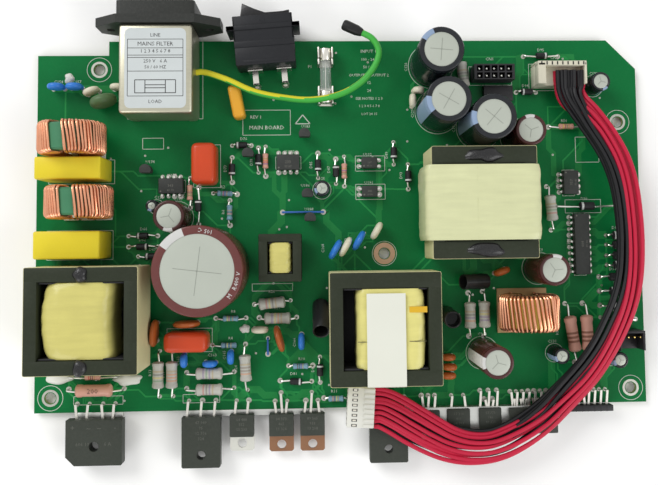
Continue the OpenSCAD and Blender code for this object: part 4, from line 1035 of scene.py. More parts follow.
class PSU_OT_switch(bpy.types.Operator):
    """Builds the rocker switch: housing, rocker and tinned terminals"""

    bl_idname = "psu.switch"
    bl_label = "Rocker switch"

    def execute(self, context):
        black = finish(
            "switch_moulding", (0.02, 0.021, 0.024), 0.36, spread=0.2, patch=90, bump=0.12, dust=0.08, sheen=0.12,
        )
        gloss = finish(
            "rocker_moulding", (0.012, 0.012, 0.014), 0.2, spread=0.15, patch=90, bump=0.08, dust=0.2, coat=0.3,
        )
        white = finish("rocker_marks", (0.75, 0.75, 0.72), 0.5)
        at = Matrix.Translation(place(*SWITCH_CENTRE)) @ Matrix.Rotation(radians(SWITCH_TURN), 4, "Z")
        shell = Shape()
        for low, high, bevel in (
            ((-12.2, -15, 0), (12.2, -7.5, 14), 0.6), ((-12.2, -7.6, 0), (12.2, -5, 14), 0.15),
            ((-12.2, -5.1, 0), (-11.4, 5.5, 14), 0.3), ((11.4, -5.1, 0), (12.2, 5.5, 14), 0.3),
            ((-12.2, -5.1, 0), (12.2, 5.5, 1.7), 0.3), ((-12.2, -5.1, 12.4), (12.2, 5.5, 14), 0.3),
            ((-15, -0.5, -0.5), (-11.5, 1.5, 14.5), 0.3), ((11.5, -0.5, -0.5), (15, 1.5, 14.5), 0.3),
            ((-15, -0.5, -0.5), (15, 1.5, 1.2), 0.3), ((-15, -0.5, 12.9), (15, 1.5, 14.5), 0.3),
            ((-12.4, -9, 4), (-12, -2, 10), 0.15), ((12, -9, 4), (12.4, -2, 10), 0.15),
            ((-9, -14, 13.9), (9, -13, 14.12), 0.08), ((-0.4, -15.1, 1), (0.4, -14.4, 14.1), 0.1),
        ):
            shell.local(low, high, 0, bevel, at)
        foot, head = (at @ (Vector((0, 3.4, z)) * MM) for z in (13.6, 14.15))
        shell.turned(foot, head, [(0, 1.1), (0.8, 1.1), (1, 0.95)], 0, 20)
        shell.piece("switch_shell", [black], ["switch_housing"])

        rocker = Shape()
        turn = at @ Matrix.Translation((0, 1 * MM, 0)) @ Matrix.Rotation(radians(-12), 4, "Z")
        face = [
            (-9.8, 8.5), (-5, 6.55), (0, 5.5), (5, 6.55), (9.8, 8.5), (9.8, 2.5), (3.3, -2.5), (-3.3, -2.5),
            (-9.8, 2.5),
        ]
        raise_outline(rocker, list(reversed(face)), 1.9, 12.2, 0, turn, 0.35 * MM)
        for y in (3.0, 5.2):
            for x in (-9.86, 9.46):
                rocker.local((x, y, 2.6), (x + 0.4, y + 0.6, 11.5), 0, 0.1, turn)
        mark = turn @ Matrix.Translation(Vector((-5.6, 6.9, 7)) * MM) @ Matrix.Rotation(radians(22), 4, "Z")
        rocker.local((-0.35, -0.2, -2), (0.35, 0.12, 2), 1, 0, mark)
        rocker.piece("switch_rocker_cap", [gloss, white], ["switch_rocker"], body="rocker")

        tinned = finish(
            "tinned_terminals", (0.66, 0.64, 0.58), 0.3, metal=1.0, spread=0.25, patch=300, dust=0.08, bump=0.2,
        )
        ends = Shape()
        for x in (-5, 7):
            base = at @ Matrix.Translation((x * MM, -15 * MM, 0))
            for low, high in (
                ((-3.1, -0.8, 0), (3.1, 0, 6)), ((-1.2, -6.8, 5.2), (1.2, -0.6, 6)), ((-1.2, -6.8, 0), (1.2, -6, 6)),
            ):
                ends.local(low, high, 0, 0.15, base)
            foot, head = (base @ (Vector((0, -6.4, z)) * MM) for z in (0, 1.1))
            ends.turned(foot, head, [(0, 1.7), (0.5, 1.35), (1, 1.0)], 0, 16)
        ends.piece("switch_terminal_pair", [tinned], ["switch_terminals"])
        fuse_and_clips(tinned)
        return {"FINISHED"}


def fuse_and_clips(tinned):
    """The glass fuse between its two spring clips."""
    metal = Shape()
    for front, back in ((126, 133.5), (142.5, 150)):
        metal.block(FUSE_X - 3.25, front, 0, FUSE_X + 3.25, back, 0.5, 0, 0.1)
        for x0, x1 in ((FUSE_X - 3.2, FUSE_X - 2.52), (FUSE_X + 2.52, FUSE_X + 3.2)):
            metal.block(x0, front, 0, x1, front + 2.4, 7, 0, 0.2)
            metal.block(x0, front + 2.9, 0, x1, back, 6.6, 0, 0.2)
            metal.block(x0, front, 0.3, x1, back, 2.4, 0, 0.1)
    cap = [(0, 1.9), (0.03, 2.3), (0.1, 2.5), (0.9, 2.5), (1, 2.42)]
    for front, back in ((126.5, 131.5), (144.5, 149.5)):
        metal.turned(place(FUSE_X, front, FUSE_Z), place(FUSE_X, back, FUSE_Z), cap, 0, 28)
    metal.piece("fuse_clip_metal", [tinned], ["fuse_metal"])
    clear = finish("fuse_glass", (0.75, 0.8, 0.78), 0.06, glass=0.6, alpha=0.55, spread=0.05, dust=0.1, bump=0.02)
    wire = finish("fuse_wire", (0.6, 0.58, 0.52), 0.3, metal=1.0, dust=0)
    tube = Shape()
    front, back = place(FUSE_X, 131.5, FUSE_Z), place(FUSE_X, 144.5, FUSE_Z)
    tube.turned(front, back, [(0, 2.3), (1, 2.3)], 0, 28)
    tube.turned(front, back, [(0.01, 0.12), (0.99, 0.12)], 1, 8)
    tube.piece("fuse_glass_tube", [clear, wire], ["fuse_tube"])


# ---- wound rings ----

def wound_turn(shape, centre, r_in, r_out, width, wire, angle, lean):
    """One round turn of wire over a ring core that stands with its axis along Y."""
    out = wire / 2 + 0.06
    lo, hi, half, c = r_in - out, r_out + out, width / 2 + out, 1.5
    path = []
    for u, v, du, dv in ((hi, half, -1, -1), (lo, half, 1, -1), (lo, -half, 1, 1), (hi, -half, -1, 1)):
        corner = []
        for i in range(4):
            a = pi / 2 * i / 3
            corner.append((u + du * c * (1 - cos(a)), v + dv * c * (1 - sin(a))))
        if (u == hi) == (v > 0):
            path += corner
        else:
            path += list(reversed(corner))
    points = []
    for u, v in path:
        a = radians(angle) + lean * v / (2 * half)
        points.append(centre + Vector((u * cos(a), v, u * sin(a))) * MM)
    shape.wire(points, wire / 2 * MM, 0, 8, closed=True)


def wound_ring(name, nodes, at, r_in, r_out, width, pitch, wire, z, core_look, wire_look, arcs, lean):
    """A ring core with its copper turns, laid in two layers inside the bore, and their ends down to the board."""
    rng = random.Random(name)
    core_node, wire_node = nodes
    centre = place(at[0], at[1], z)
    core = Shape()
    half = Vector((0, width / 2, 0)) * MM
    section = [
        (r_in + 0.6, -1), (r_in, -0.88), (r_in, 0.88), (r_in + 0.6, 1),
        (r_out - 0.7, 1), (r_out, 0.88), (r_out, -0.88), (r_out - 0.7, -1),
    ]
    loops = []
    for k in range(64):
        a = 2 * pi * k / 64
        u = Vector((cos(a), 0, sin(a)))
        loops.append([centre + u * r * MM + half * v for r, v in section])
    core.rings(loops, 0, closed=True)
    core.piece(f"{name}_core_ring", [core_look], [core_node])
    coil = Shape()
    for start, end in arcs:
        turns = int((end - start) / pitch)
        for i in range(turns + 1):
            a = start + (end - start) * i / turns + rng.uniform(-0.1, 0.1) * pitch
            layer = i % 2
            inner, outer, wide = r_in - layer * wire * 0.9, r_out + layer * 0.12, width + layer * 0.2
            wound_turn(coil, centre, inner, outer, wide, wire, a, lean + rng.uniform(-0.03, 0.03))
        for a in (start, end):
            if sin(radians(a)) >= 0:
                continue
            x = centre.x + (r_out + wire / 2) * cos(radians(a)) * MM
            for side in (-1, 1):
                y = centre.y + side * (width / 2 + wire * 0.75) * MM
                foot = Vector((x, y, BOARD_T * MM))
                path = [foot, foot + Vector((0, 0, 2.2 * MM)), Vector((x, y, centre.z - (r_out - 2.5) * MM))]
                coil.wire(path, wire / 2 * MM, 0, 8)
    coil.piece(f"{name}_copper_turns", [wire_look], [wire_node])


class PSU_OT_rings(bpy.types.Operator):
    """Builds the two mains chokes and the output toroid, turn by turn"""

    bl_idname = "psu.rings"
    bl_label = "Chokes and toroid"

    def execute(self, context):
        looks = settings()
        copper = finish(
            "enamelled_copper", looks.copper, 0.26, metal=0.85, spread=0.28, patch=260, grain=1800, bump=0.06,
            dust=0.06, coat=0.5,
        )
        green = finish("core_green", (0.05, 0.2, 0.1), 0.45, spread=0.2, dust=0.15)
        yellow = finish("core_yellow", (0.62, 0.52, 0.09), 0.45, spread=0.2, dust=0.15)
        white = finish("choke_foot", (0.72, 0.72, 0.66), 0.5, spread=0.12, dust=0.25)
        paper = finish(
            "paper_laminate", (0.5, 0.33, 0.16), 0.6, spread=0.25, patch=200, dust=0.2, lines=(20.0, 900.0, 900.0),
        )
        z = (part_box("choke_cores")[0][2] + 12 * MM) / MM - BOARD_T
        for number, (x, y, gap) in enumerate(((18.5, 111, 103), (21.5, 85.5, 97)), 1):
            wound_ring(
                f"mains_choke_{number}", ("choke_cores", "choke_windings"), (x, y), 6.7, 12.1, 10.7, 5.9, 1.12, z,
                green, copper, ((-76, gap - 15), (gap + 15, 256)), 0.1,
            )
        z = (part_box("toroid_core")[0][2] + 10.8 * MM) / MM - BOARD_T
        wound_ring(
            "output_toroid", ("toroid_core", "toroid_winding"), (202, 39), 5.7, 10.9, 12.1, 8.8, 1.25, z,
            yellow, copper, ((-64, 244),), 0.14,
        )
        plain_boxes("choke_feet", "choke_bases", white, 0.3)
        foot = Shape()
        low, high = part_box("toroid_base_plate")
        foot.box(low, high, 0, 0.15 * MM)
        foot.piece("toroid_foot", [paper], ["toroid_base_plate"])
        return {"FINISHED"}


# ---- transformers ----

# left, front, wide, deep, top, side leg, yoke, foot height
CORES = {
    "boost": (5.5, 19.5, 42.5, 40.5, 30, 5, 5.5, 5),
    "main": (161, 61.5, 41, 43.5, 30, 4.5, 6.8, 5),
    "middle": (121, 13, 43, 43.5, 28, 5, 6, 5),
    "small": (93, 53, 17, 19, 18, 3.5, 3.2, 3),
}


def ferrite_frame(name, look):
    """The flat core of one transformer: two yokes and two side legs."""
    left, front, wide, deep, top, leg, yoke, foot = CORES[name]
    shape = Shape()
    for x0, x1, y0, y1 in (
        (left, left + wide, front, front + yoke), (left, left + wide, front + deep - yoke, front + deep),
        (left, left + leg, front + yoke - 0.4, front + deep - yoke + 0.4),
        (left + wide - leg, left + wide, front + yoke - 0.4, front + deep - yoke + 0.4),
    ):
        shape.block(x0, y0, foot, x1, y1, top, 0, 0.45)
    shape.piece(f"{name}_ferrite", [look], ["ferrite_cores"])


# gap on the left and right inside the core, how far those sides bow to the right at the middle,
# rise over the core's top, swelling of the top, and squareness of the section
COILS = {
    "boost": (2.4, 3.4, (-2.4, -1.6), -0.5, 2.2, 0.42),
    "main": (-7.3, -6.4, (0.0, 0.0), 1.2, 0.15, 0.2),
    "middle": (4.8, 1.4, (0.3, 0.6), -0.2, 0.5, 0.32),
    "small": (0.4, 0.4, (0.0, 0.0), -0.1, 0.4, 0.45),
}


def taped_coil(name, looks, seed):
    """A winding under its tape: a rounded section drawn out along Y, with creases and a lapped edge."""
    left, front, wide, deep, top, leg, yoke, foot = CORES[name]
    gap_left, gap_right, bows, rise, swell, power = COILS[name]
    rng = random.Random(seed)
    y0, y1 = front + yoke + 0.3, front + deep - yoke - 0.3
    count, steps = 48, 30
    waves = [(rng.uniform(2, 9), rng.uniform(1, 7), rng.uniform(0, 6.28)) for _ in range(6)]
    mid_z, half_z = (foot + top + rise) / 2 + 0.1, (top + rise - foot) / 2 - 0.1
    rings = []
    for i in range(steps + 1):
        share = i / steps
        arch = sin(pi * share) ** 0.8
        x0, x1 = left + leg + gap_left + bows[0] * arch, left + wide - leg - gap_right + bows[1] * arch
        half, centre = (x1 - x0) / 2, (x0 + x1) / 2
        inset = 0.5 * (1 - min(1, min(share, 1 - share) * 14)) + (0.14 if 0.47 < share < 0.5 else 0)
        ring = []
        for k in range(count):
            a = 2 * pi * k / count
            ux = copysign(abs(cos(a)) ** power, cos(a))
            uz = copysign(abs(sin(a)) ** power, sin(a))
            crease = sum(sin(f * a + g * 6.28 * share + p) for f, g, p in waves) * 0.04
            x = centre + ux * (half - inset + crease)
            z = mid_z + uz * (half_z - inset * 0.7 + crease)
            if uz > 0:
                z += swell * uz * exp(-((x - centre + half * 0.35) / (half * 0.5)) ** 2) * arch
            ring.append(place(x, y0 + (y1 - y0) * share, z))
        rings.append(ring)
    shape = Shape()
    shape.rings(rings, 0)
    shape.bm.normal_update()
    for face in shape.bm.faces:
        if len(face.verts) > 4:
            face.material_index = len(looks) - 1
    return shape, y0, y1, top + rise


def tape_band(name, look):
    """The thin tape wound round the outside of a core to hold its halves together."""
    left, front, wide, deep, top, _, _, foot = CORES[name]
    shape = Shape()
    thick = 0.14
    outline = []
    for x, y, turn in (
        (left + wide, front + deep, 0), (left, front + deep, 90), (left, front, 180), (left + wide, front, 270),
    ):
        sx, sy = (1 if x > left else -1), (1 if y > front else -1)
        for a in (0, 30, 60, 90):
            t = radians(turn + a)
            outline.append((x - 0.5 * sx + (0.5 + thick) * cos(t), y - 0.5 * sy + (0.5 + thick) * sin(t)))
    low, high = foot + 0.6, top - 0.35
    sections = []
    for x, y in outline:
        inner = (
            x + (thick if x < left + wide / 2 else -thick), y + (thick if y < front + deep / 2 else -thick),
        )
        sections.append([place(*inner, low), place(x, y, low), place(x, y, high), place(*inner, high)])
    shape.rings(sections, 0, closed=True)
    shape.piece(f"{name}_core_band", [look], (), smooth=40)


def bobbin(name, look, pin):
    """The moulded foot of a transformer with its rows of pins."""
    left, front, wide, deep, top, leg, yoke, foot = CORES[name]
    shape = Shape()
    shape.block(left + 1.5, front + 1, 0, left + wide - 1.5, front + deep - 1, foot - 0.02, 0, 0.4)
    for y0, y1 in ((front + yoke - 0.1, front + yoke + 0.9), (front + deep - yoke - 0.9, front + deep - yoke + 0.1)):
        shape.block(left + leg + 0.2, y0 + 0.15, foot, left + wide - leg - 0.2, y1 - 0.15, top - 1.2, 0, 0.25)
    pins = 3 if name == "small" else 6
    for i in range(pins):
        x = left + 4 + i * (wide - 8) / (pins - 1)
        for y in (front + 0.75, front + deep - 0.75):
            shape.block(x - 0.35, y - 0.25, 0.02, x + 0.35, y + 0.25, 1.5, 1, 0.1)
    shape.piece(f"{name}_bobbin", [look, pin], ["bobbin_feet"])


class PSU_OT_transformers(bpy.types.Operator):
    """Builds the boost inductor and the three transformers with their tape and paper"""

    bl_idname = "psu.transformers"
    bl_label = "Transformers"

    def execute(self, context):
        looks = settings()
        ferrite = finish(
            "ferrite", looks.ferrite, 0.5, spread=0.25, patch=150, grain=2200, bump=0.25, dust=0.12, sheen=0.12,
        )
        film = {"lines": (60.0, 500.0, 60.0), "bump": 0.22, "dust": 0.12, "coat": 0.35}
        tape = finish("winding_tape", looks.tape, 0.24, spread=0.14, patch=140, **film)
        pale = finish("pale_winding_tape", looks.pale_tape, 0.26, spread=0.12, patch=120, **film)
        # a lighter copy of the winding tape for the middle coil, to make up for the shade its core casts there: painted
        # light
        painted_light_tape = finish("winding_tape_with_painted_light", (0.8, 0.74, 0.25), 0.24, spread=0.14, patch=140, **film)
        # dark brown for the coils' end faces, and for the painted shade of a crease in the middle coil's tape
        margin = finish("coil_margin_and_crease_shade", (0.1, 0.085, 0.05), 0.55, spread=0.2, dust=0.1)
        paper = finish("paper_strip", (0.74, 0.75, 0.66), 0.6, spread=0.05, patch=50, bump=0.1, dust=0.1)
        foot = finish("bobbin_moulding", (0.025, 0.025, 0.028), 0.45, spread=0.2, dust=0.12)
        pin = finish("bobbin_pins", (0.6, 0.58, 0.5), 0.35, metal=1.0)
        for name in CORES:
            ferrite_frame(name, ferrite)
            bobbin(name, foot, pin)
        amber = finish("amber_tape", (0.7, 0.42, 0.03), 0.3, spread=0.15, dust=0.03)
        band = finish("core_band", (0.68, 0.64, 0.36), 0.36, spread=0.12)
        for name, node, look, seed in (
            ("boost", "boost_winding", tape, 5), ("main", "main_winding", pale, 8),
            ("middle", "mid_winding", painted_light_tape, 11), ("small", "small_winding", tape, 2),
        ):
            shape, y0, y1, high = taped_coil(name, [look, amber, margin], seed)
            left, wide = CORES[name][0], CORES[name][2]
            if name == "middle":
                shape.block(left + 30.5, y1 - 9.2, high - 0.5, left + 37.4, y1 - 6.9, high + 0.16, 1, 0.07)
                # two thin dark strips across the middle coil's tape, beside the paper: painted shade of a crease
                for x in (left + 10.5, left + 30.4):
                    shape.block(x, y0 + 10.6, high - 0.4, x + 6.5, y0 + 10.85, high + 0.1, 2, 0.05)
            if name != "small":
                lap = left + wide * 0.42
                shape.block(lap, y0 + 1, high - 0.4, lap + 0.25, y1 - 1, high + 0.1, 0, 0.08)
                tape_band(name, band)
            shape.piece(f"{name}_tape", [look, amber, margin], [node], smooth=50)
        self.paper(paper)
        return {"FINISHED"}

    def paper(self, look):
        """The white strip that lies on the middle transformer and folds over its front."""
        left, front, wide, deep, top, _, yoke, _ = CORES["middle"]
        x0, x1 = left + wide / 2 - 7.5, left + wide / 2 + 7.5
        line = [
            (front - 0.16, top - 9), (front - 0.22, top - 5), (front - 0.18, top - 1), (front + 0.1, top + 0.35),
            (front + 1, top + 0.5),
        ]
        line += [(front + 2 + i * (deep - yoke - 4) / 12, top + 0.55 + 0.12 * sin(i * 1.3)) for i in range(13)]
        rings = []
        for i, (y, z) in enumerate(line):
            ring = []
            for x, lift in ((x0, 0), (x0, 0.22), ((x0 + x1) / 2, 0.26), (x1, 0.22), (x1, 0), ((x0 + x1) / 2, 0.02)):
                ring.append(place(x, y - (lift if i < 3 else 0), z + (lift if i >= 3 else 0)))
            rings.append(ring)
        shape = Shape()
        shape.rings(rings, 0)
        shape.piece("transformer_paper_strip", [look], ["paper_strip"], smooth=40)


# ---- capacitors ----

# where each can's stripe faces, in degrees from the right, from the left can to the right one
STRIPES = {
    "black_capacitors": (250, 200, 130, 195, 185, 200, 300, 200),
    "brown_capacitors": (265, 180, 95, 80),
}


def can_shape(shape, x, y, d, h, turn, stripe, lip, sides=48):
    """One electrolytic can: sleeve with its stripe, shrunk lip, and an end whose score lines are dark strips of painted
    shade.
    """
    r = d / 2
    profile = [
        (0, r - 0.35), (0.3, r), (h - 4.0, r), (h - 3.4, r - 0.12), (h - 2.9, r - 0.5), (h - 2.4, r - 0.12),
        (h - 1.8, r), (h - 0.7, r), (h - 0.2, r - 0.25), (h, r - 0.7), (h - 0.02, r - lip * 0.8), (h - 0.12, r - lip),
        (h - 0.35, r - lip - 0.12),
    ]
    centre = place(x, y)
    rings = [
        circle(centre + Vector((0, 0, z * MM)), Vector((1, 0, 0)), Vector((0, 1, 0)), radius * MM, sides)
        for z, radius in profile
    ]
    for face in shape.rings(rings, 0, caps=False):
        c = face.calc_center_median() - centre
        angle = degrees(atan2(c.y, c.x)) - turn
        if abs((angle + 180) % 360 - 180) < stripe and c.z > 1 * MM:
            face.material_index = 1
    end = r - lip - 0.1
    base = centre + Vector((0, 0, (h - 0.4) * MM))
    foot, head = base - Vector((0, 0, 0.2 * MM)), base + Vector((0, 0, 0.16 * MM))
    shape.turned(foot, head, [(0, end), (0.55, end), (0.75, end * 0.93), (1, end * 0.8)], 2, sides)
    # the score lines: flat darker strips, painted shade of grooves that are not cut
    arms = 4 if d > 14 else 3
    for k in range(arms):
        angle = radians(turn + 45) + 2 * pi * k / arms
        spin = Matrix.Translation(base + Vector((0, 0, 0.17 * MM))) @ Matrix.Rotation(angle, 4, "Z")
        shape.box((0, -0.14 * MM, -0.05 * MM), (end * 0.66 * MM, 0.14 * MM, 0.012 * MM), 3, 0, spin)


class PSU_OT_cans(bpy.types.Operator):
    """Builds the electrolytic capacitors"""

    bl_idname = "psu.cans"
    bl_label = "Electrolytic capacitors"

    def execute(self, context):
        looks = settings()
        sleeve = {"patch": 80, "bump": 0.06, "coat": 0.4}
        black = finish("black_sleeve", looks.sleeve_black, 0.24, spread=0.2, dust=0.16, **sleeve)
        brown = finish("brown_sleeve", looks.sleeve_brown, 0.26, spread=0.16, dust=0.16, **sleeve)
        stripe = finish("sleeve_stripe", (0.26, 0.35, 0.5), 0.3, dust=0.1)
        white = finish("sleeve_print", (0.6, 0.6, 0.58), 0.4, spread=0.06, dust=0.1)
        metal = finish("can_aluminium", (0.43, 0.46, 0.4), 0.45, metal=0.3, patch=90, bump=0.08, dust=0.08)
        # darker aluminium for the score lines: painted shade of their grooves
        score_shade = finish("score_groove_shade", (0.27, 0.29, 0.25), 0.5, metal=0.3, dust=0.0)
        darker = tuple(c * 0.45 for c in looks.sleeve_brown)
        dark = finish("dark_brown_sleeve", darker, 0.26, spread=0.16, dust=0.1, **sleeve)
        for node, cover, mark in (("black_capacitors", black, stripe), ("brown_capacitors", dark, white)):
            for number, points in enumerate(solids(node), 1):
                x, y, d, h = round_place(points)
                shape = Shape()
                lip = 2.1 if d > 15 else 1.3 if d > 10 else 0.9
                can_shape(shape, x, y, d, h, STRIPES[node][number - 1], 20, lip, 48 if d > 10 else 32)
                shape.piece(f"{node}_{number:02d}", [cover, mark, metal, score_shade], [node, "capacitor_ends"])
        x, y, d, h = round_place(solids("bulk_capacitor")[0])
        shape = Shape()
        can_shape(shape, x, y, d, h, 128, 16, 3.2, 72)
        for words, angle in (("105 C", 78), ("400 V", -12), ("M   R", -32)):
            a = radians(angle)
            spot = place(x + (d / 2 - 1.9) * cos(a), y + (d / 2 - 1.9) * sin(a))
            text_mesh(words, 2.3 * MM, (spot.x, spot.y), angle + 90, 1, shape, place(0, 0, h + 0.03).z)
        shape.piece("bulk_can", [brown, white, metal, score_shade], ["bulk_capacitor"])
        return {"FINISHED"}


class PSU_OT_film(bpy.types.Operator):
    """Builds the box film capacitors"""

    bl_idname = "psu.film"
    bl_label = "Film capacitors"

    def execute(self, context):
        yellow = finish("x_capacitor_case", (0.76, 0.62, 0.03), 0.34, spread=0.08, patch=80, bump=0.1, dust=0.12)
        red = finish("film_dip", (0.56, 0.06, 0.016), 0.3, spread=0.14, bump=0.18, dust=0.06, coat=0.3)
        orange = finish("amber_dip", (0.74, 0.36, 0.03), 0.3, spread=0.12, bump=0.18, dust=0.12, coat=0.3)
        for number, (low, high) in enumerate(spans("x_capacitors"), 1):
            shape = Shape()
            shape.box(low, high, 0, 0.8 * MM, None, 3)
            shape.piece(f"x_capacitor_{number}", [yellow], ["x_capacitors"])
        for number, (low, high) in enumerate(spans("film_capacitors"), 1):
            shape = Shape()
            shape.box(low + Vector((0, 0, 0.5 * MM)), high, 0, 2.4 * MM, None, 5)
            shape.piece(f"film_capacitor_{number}", [red], ["film_capacitors"])
        shape = Shape()
        at = Matrix.Translation(place(83.5, 127)) @ Matrix.Rotation(radians(11), 4, "Z")
        shape.box(Vector((-2.5, -7, 0.3)) * MM, Vector((2.5, 7, 9)) * MM, 0, 1.5 * MM, at, 5)
        shape.piece("amber_film_capacitor", [orange], ["yellow_film_capacitor"])
        return {"FINISHED"}


def disc_frame(points):
    """Centre, width direction, thickness and diameter of a disc that stands on edge."""
    flat = points[:, :2]
    middle = (flat.max(axis=0) + flat.min(axis=0)) / 2
    _, vectors = np.linalg.eigh(np.cov((flat - flat.mean(axis=0)).T))
    wide, thin = vectors[:, -1], vectors[:, 0]
    across = (flat - flat.mean(axis=0)) @ thin
    high = points[:, 2].max()
    d = high - (BOARD_T + 1.5) * MM
    centre = Vector((middle[0], middle[1], high - d / 2))
    return centre, Vector((*wide, 0)), Vector((*thin, 0)), float(across.max() - across.min()), float(d)


class PSU_OT_discs(bpy.types.Operator):
    """Builds the disc capacitors and the inrush thermistor"""

    bl_idname = "psu.discs"
    bl_label = "Disc capacitors"

    def execute(self, context):
        lens = [
            (0, 0.25), (0.04, 0.66), (0.14, 0.86), (0.3, 0.97), (0.5, 1),
            (0.7, 0.97), (0.86, 0.86), (0.96, 0.66), (1, 0.25),
        ]
        tin = finish("disc_leads", (0.62, 0.6, 0.55), 0.35, metal=1.0, dust=0.03)
        for node, title, colour, rough in (
            ("blue_disc_capacitors", "blue_disc", (0.03, 0.19, 0.62), 0.3),
            ("cream_disc_capacitors", "cream_disc", (0.74, 0.7, 0.55), 0.36),
            ("brown_disc_capacitors", "brown_disc", (0.4, 0.1, 0.022), 0.36),
            ("inrush_thermistor", "thermistor", (0.08, 0.15, 0.06), 0.45),
        ):
            look = finish(f"{title}_dip", colour, rough, spread=0.14, patch=200, bump=0.2, dust=0.12, coat=0.25)
            for number, points in enumerate(solids(node), 1):
                centre, wide, thin, t, d = disc_frame(points)
                shape = Shape()
                shape.turned(
                    centre - thin * t / 2, centre + thin * t / 2,
                    lens, 0, 28, unit=d / 2,
                )
                for s in (-1, 1):
                    foot = Vector((centre.x, centre.y, BOARD_T * MM)) + wide * s * d / 3
                    top = foot + Vector((0, 0, 1.5 * MM + d * 0.2))
                    collar = foot + Vector((0, 0, 0.9 * MM))
                    shape.turned(collar, top, [(0, 0.45), (0.3, 0.75), (1, 1.1)], 0, 12)
                    shape.turned(foot, foot + Vector((0, 0, 1 * MM)), [(0, 0.4), (1, 0.38)], 1, 10)
                shape.piece(f"{title}_{number:02d}", [look, tin], [node])
        return {"FINISHED"}


# ---- axial parts ----

BANDS = {
    "brown": (0.13, 0.045, 0.015), "red": (0.5, 0.02, 0.015), "orange": (0.7, 0.2, 0.02),
    "yellow": (0.72, 0.6, 0.05), "green": (0.03, 0.25, 0.06), "violet": (0.16, 0.05, 0.3),
    "black": (0.012, 0.012, 0.012), "gold": (0.45, 0.3, 0.08),
}


# the middle of a resistor body, as a share of its shoulders
WAIST = 0.9


def banded_body(shape, points, bands):
    """A resistor body: round shoulders at both ends and painted rings between."""
    foot, head, r = long_axis(points)
    profile, slots = [(0, 0.35), (0.02, 0.75), (0.06, 1), (0.16, 1), (0.22, WAIST)], [0, 0, 0, 0]
    at = 0.27
    for slot in bands:
        profile += [(at, WAIST), (at + 0.005, WAIST + 0.02), (at + 0.055, WAIST + 0.02), (at + 0.06, WAIST)]
        slots += [0, slot, slot, slot]
        at += 0.115
    profile += [(0.8, WAIST), (0.85, 1), (0.94, 1), (0.98, 0.75), (1, 0.35)]
    slots += [0, 0, 0, 0, 0]
    shape.turned(foot, head, profile, 0, 20, slots, r)


def lead_parts(points):
    """Foot, corner and end of a lead that stands in a hole and runs in to its body."""
    low, high = points[:, 2].min(), points[:, 2].max()
    base = points[points[:, 2] < low + 0.1 * MM]
    foot = Vector((base.max(axis=0) + base.min(axis=0)) / 2)
    flat = points[:, :2] - np.array((foot.x, foot.y))
    far = points[np.argmax(np.linalg.norm(flat, axis=1))]
    along = Vector((far[0] - foot.x, far[1] - foot.y, 0))
    reach = along.length
    along.normalize()
    steps = [Vector((p[0] - foot.x, p[1] - foot.y, 0)).dot(along) for p in points]
    top = Vector((foot.x, foot.y, float(high)))
    return foot, top, top + along * max(steps), reach


class PSU_OT_axial(bpy.types.Operator):
    """Builds the resistors, the diodes and their leads"""

    bl_idname = "psu.axial"
    bl_label = "Resistors and diodes"

    def execute(self, context):
        rng = random.Random(17)
        for node, title, colour, fade in (
            ("grey_resistors", "grey_resistor", (0.47, 0.47, 0.42), 0.6),
            ("pink_resistors", "pink_resistor", (0.64, 0.34, 0.26), 0.3),
            ("blue_resistors", "blue_resistor", (0.2, 0.36, 0.46), 0.25),
        ):
            paints = []
            for name, paint in BANDS.items():
                worn = tuple(p + (c - p) * fade for p, c in zip(paint, colour))
                paints.append(finish(f"{title}_{name}", worn, 0.38, dust=0.06))
            lacquer = finish(f"{title}_lacquer", colour, 0.36, patch=300, bump=0.1, dust=0.12, coat=0.2)
            shape = Shape()
            for points in solids(node):
                low, high = span(points)
                bands = [rng.randint(1, 7) for _ in range(3)] + [8]
                if high.x - low.x > 14 * MM:
                    bands = []
                    text_mesh(
                        "200", 3 * MM, ((low.x + high.x) / 2, (low.y + high.y) / 2), 0, 7, shape, high.z + 0.02 * MM,
                    )
                elif high.y - low.y > 14 * MM:
                    bands = [1, 1, 1]
                banded_body(shape, points, bands)
            shape.piece(f"{title}_set", [lacquer, *paints], [node])
        black = finish("diode_epoxy", (0.014, 0.014, 0.016), 0.4, spread=0.2, dust=0.15, bump=0.1)
        ring = finish("cathode_ring", (0.6, 0.62, 0.6), 0.4, dust=0.08)
        shape = Shape()
        for points in solids("diode_bodies"):
            foot, head, r = long_axis(points)
            if rng.random() < 0.5:
                foot, head = head, foot
            profile = [(0, 0.6), (0.06, 1), (0.12, 1), (0.26, 1), (0.94, 1), (1, 0.6)]
            shape.turned(foot, head, profile, 0, 20, [0, 0, 1, 0, 0], r)
        shape.piece("diode_set", [black, ring], ["diode_bodies"])
        tin = finish("tinned_wire", (0.7, 0.69, 0.64), 0.28, metal=1.0, spread=0.15, dust=0.03)
        shape = Shape()
        for points in solids("axial_lead_wires"):
            foot, top, end, reach = lead_parts(points)
            r = 0.38 * MM
            high = top.z - r
            inward = (end - top).normalized()
            bend = min(1.1 * MM, high - foot.z, reach * 0.6)
            path = [foot, Vector((foot.x, foot.y, high - bend))]
            for i in range(1, 5):
                a = pi / 2 * i / 4
                path.append(path[1] + inward * bend * (1 - cos(a)) + Vector((0, 0, bend * sin(a))))
            path.append(Vector((end.x, end.y, high)) + inward * 0.3 * MM)
            shape.wire(path, r, 0, 8)
        shape.piece("axial_leads", [tin], ["axial_lead_wires"])
        insulated = finish("link_insulation", (0.05, 0.16, 0.5), 0.4, dust=0.1)
        shape = Shape()
        for (ax, ay), (bx, by) in (((102, 81.2), (119, 81.2)), ((95.5, 22.5), (95.5, 29))):
            path = [place(ax, ay, 0), place(ax, ay, 0.7)]
            path += [place(ax + (bx - ax) * t, ay + (by - ay) * t, 1.05) for t in (0.04, 0.5, 0.96)]
            path += [place(bx, by, 0.7), place(bx, by, 0)]
            shape.wire(path, 0.42 * MM, 0, 10)
        shape.piece("link_wires", [insulated], ["wire_links"])
        return {"FINISHED"}


# ---- chips and power devices ----

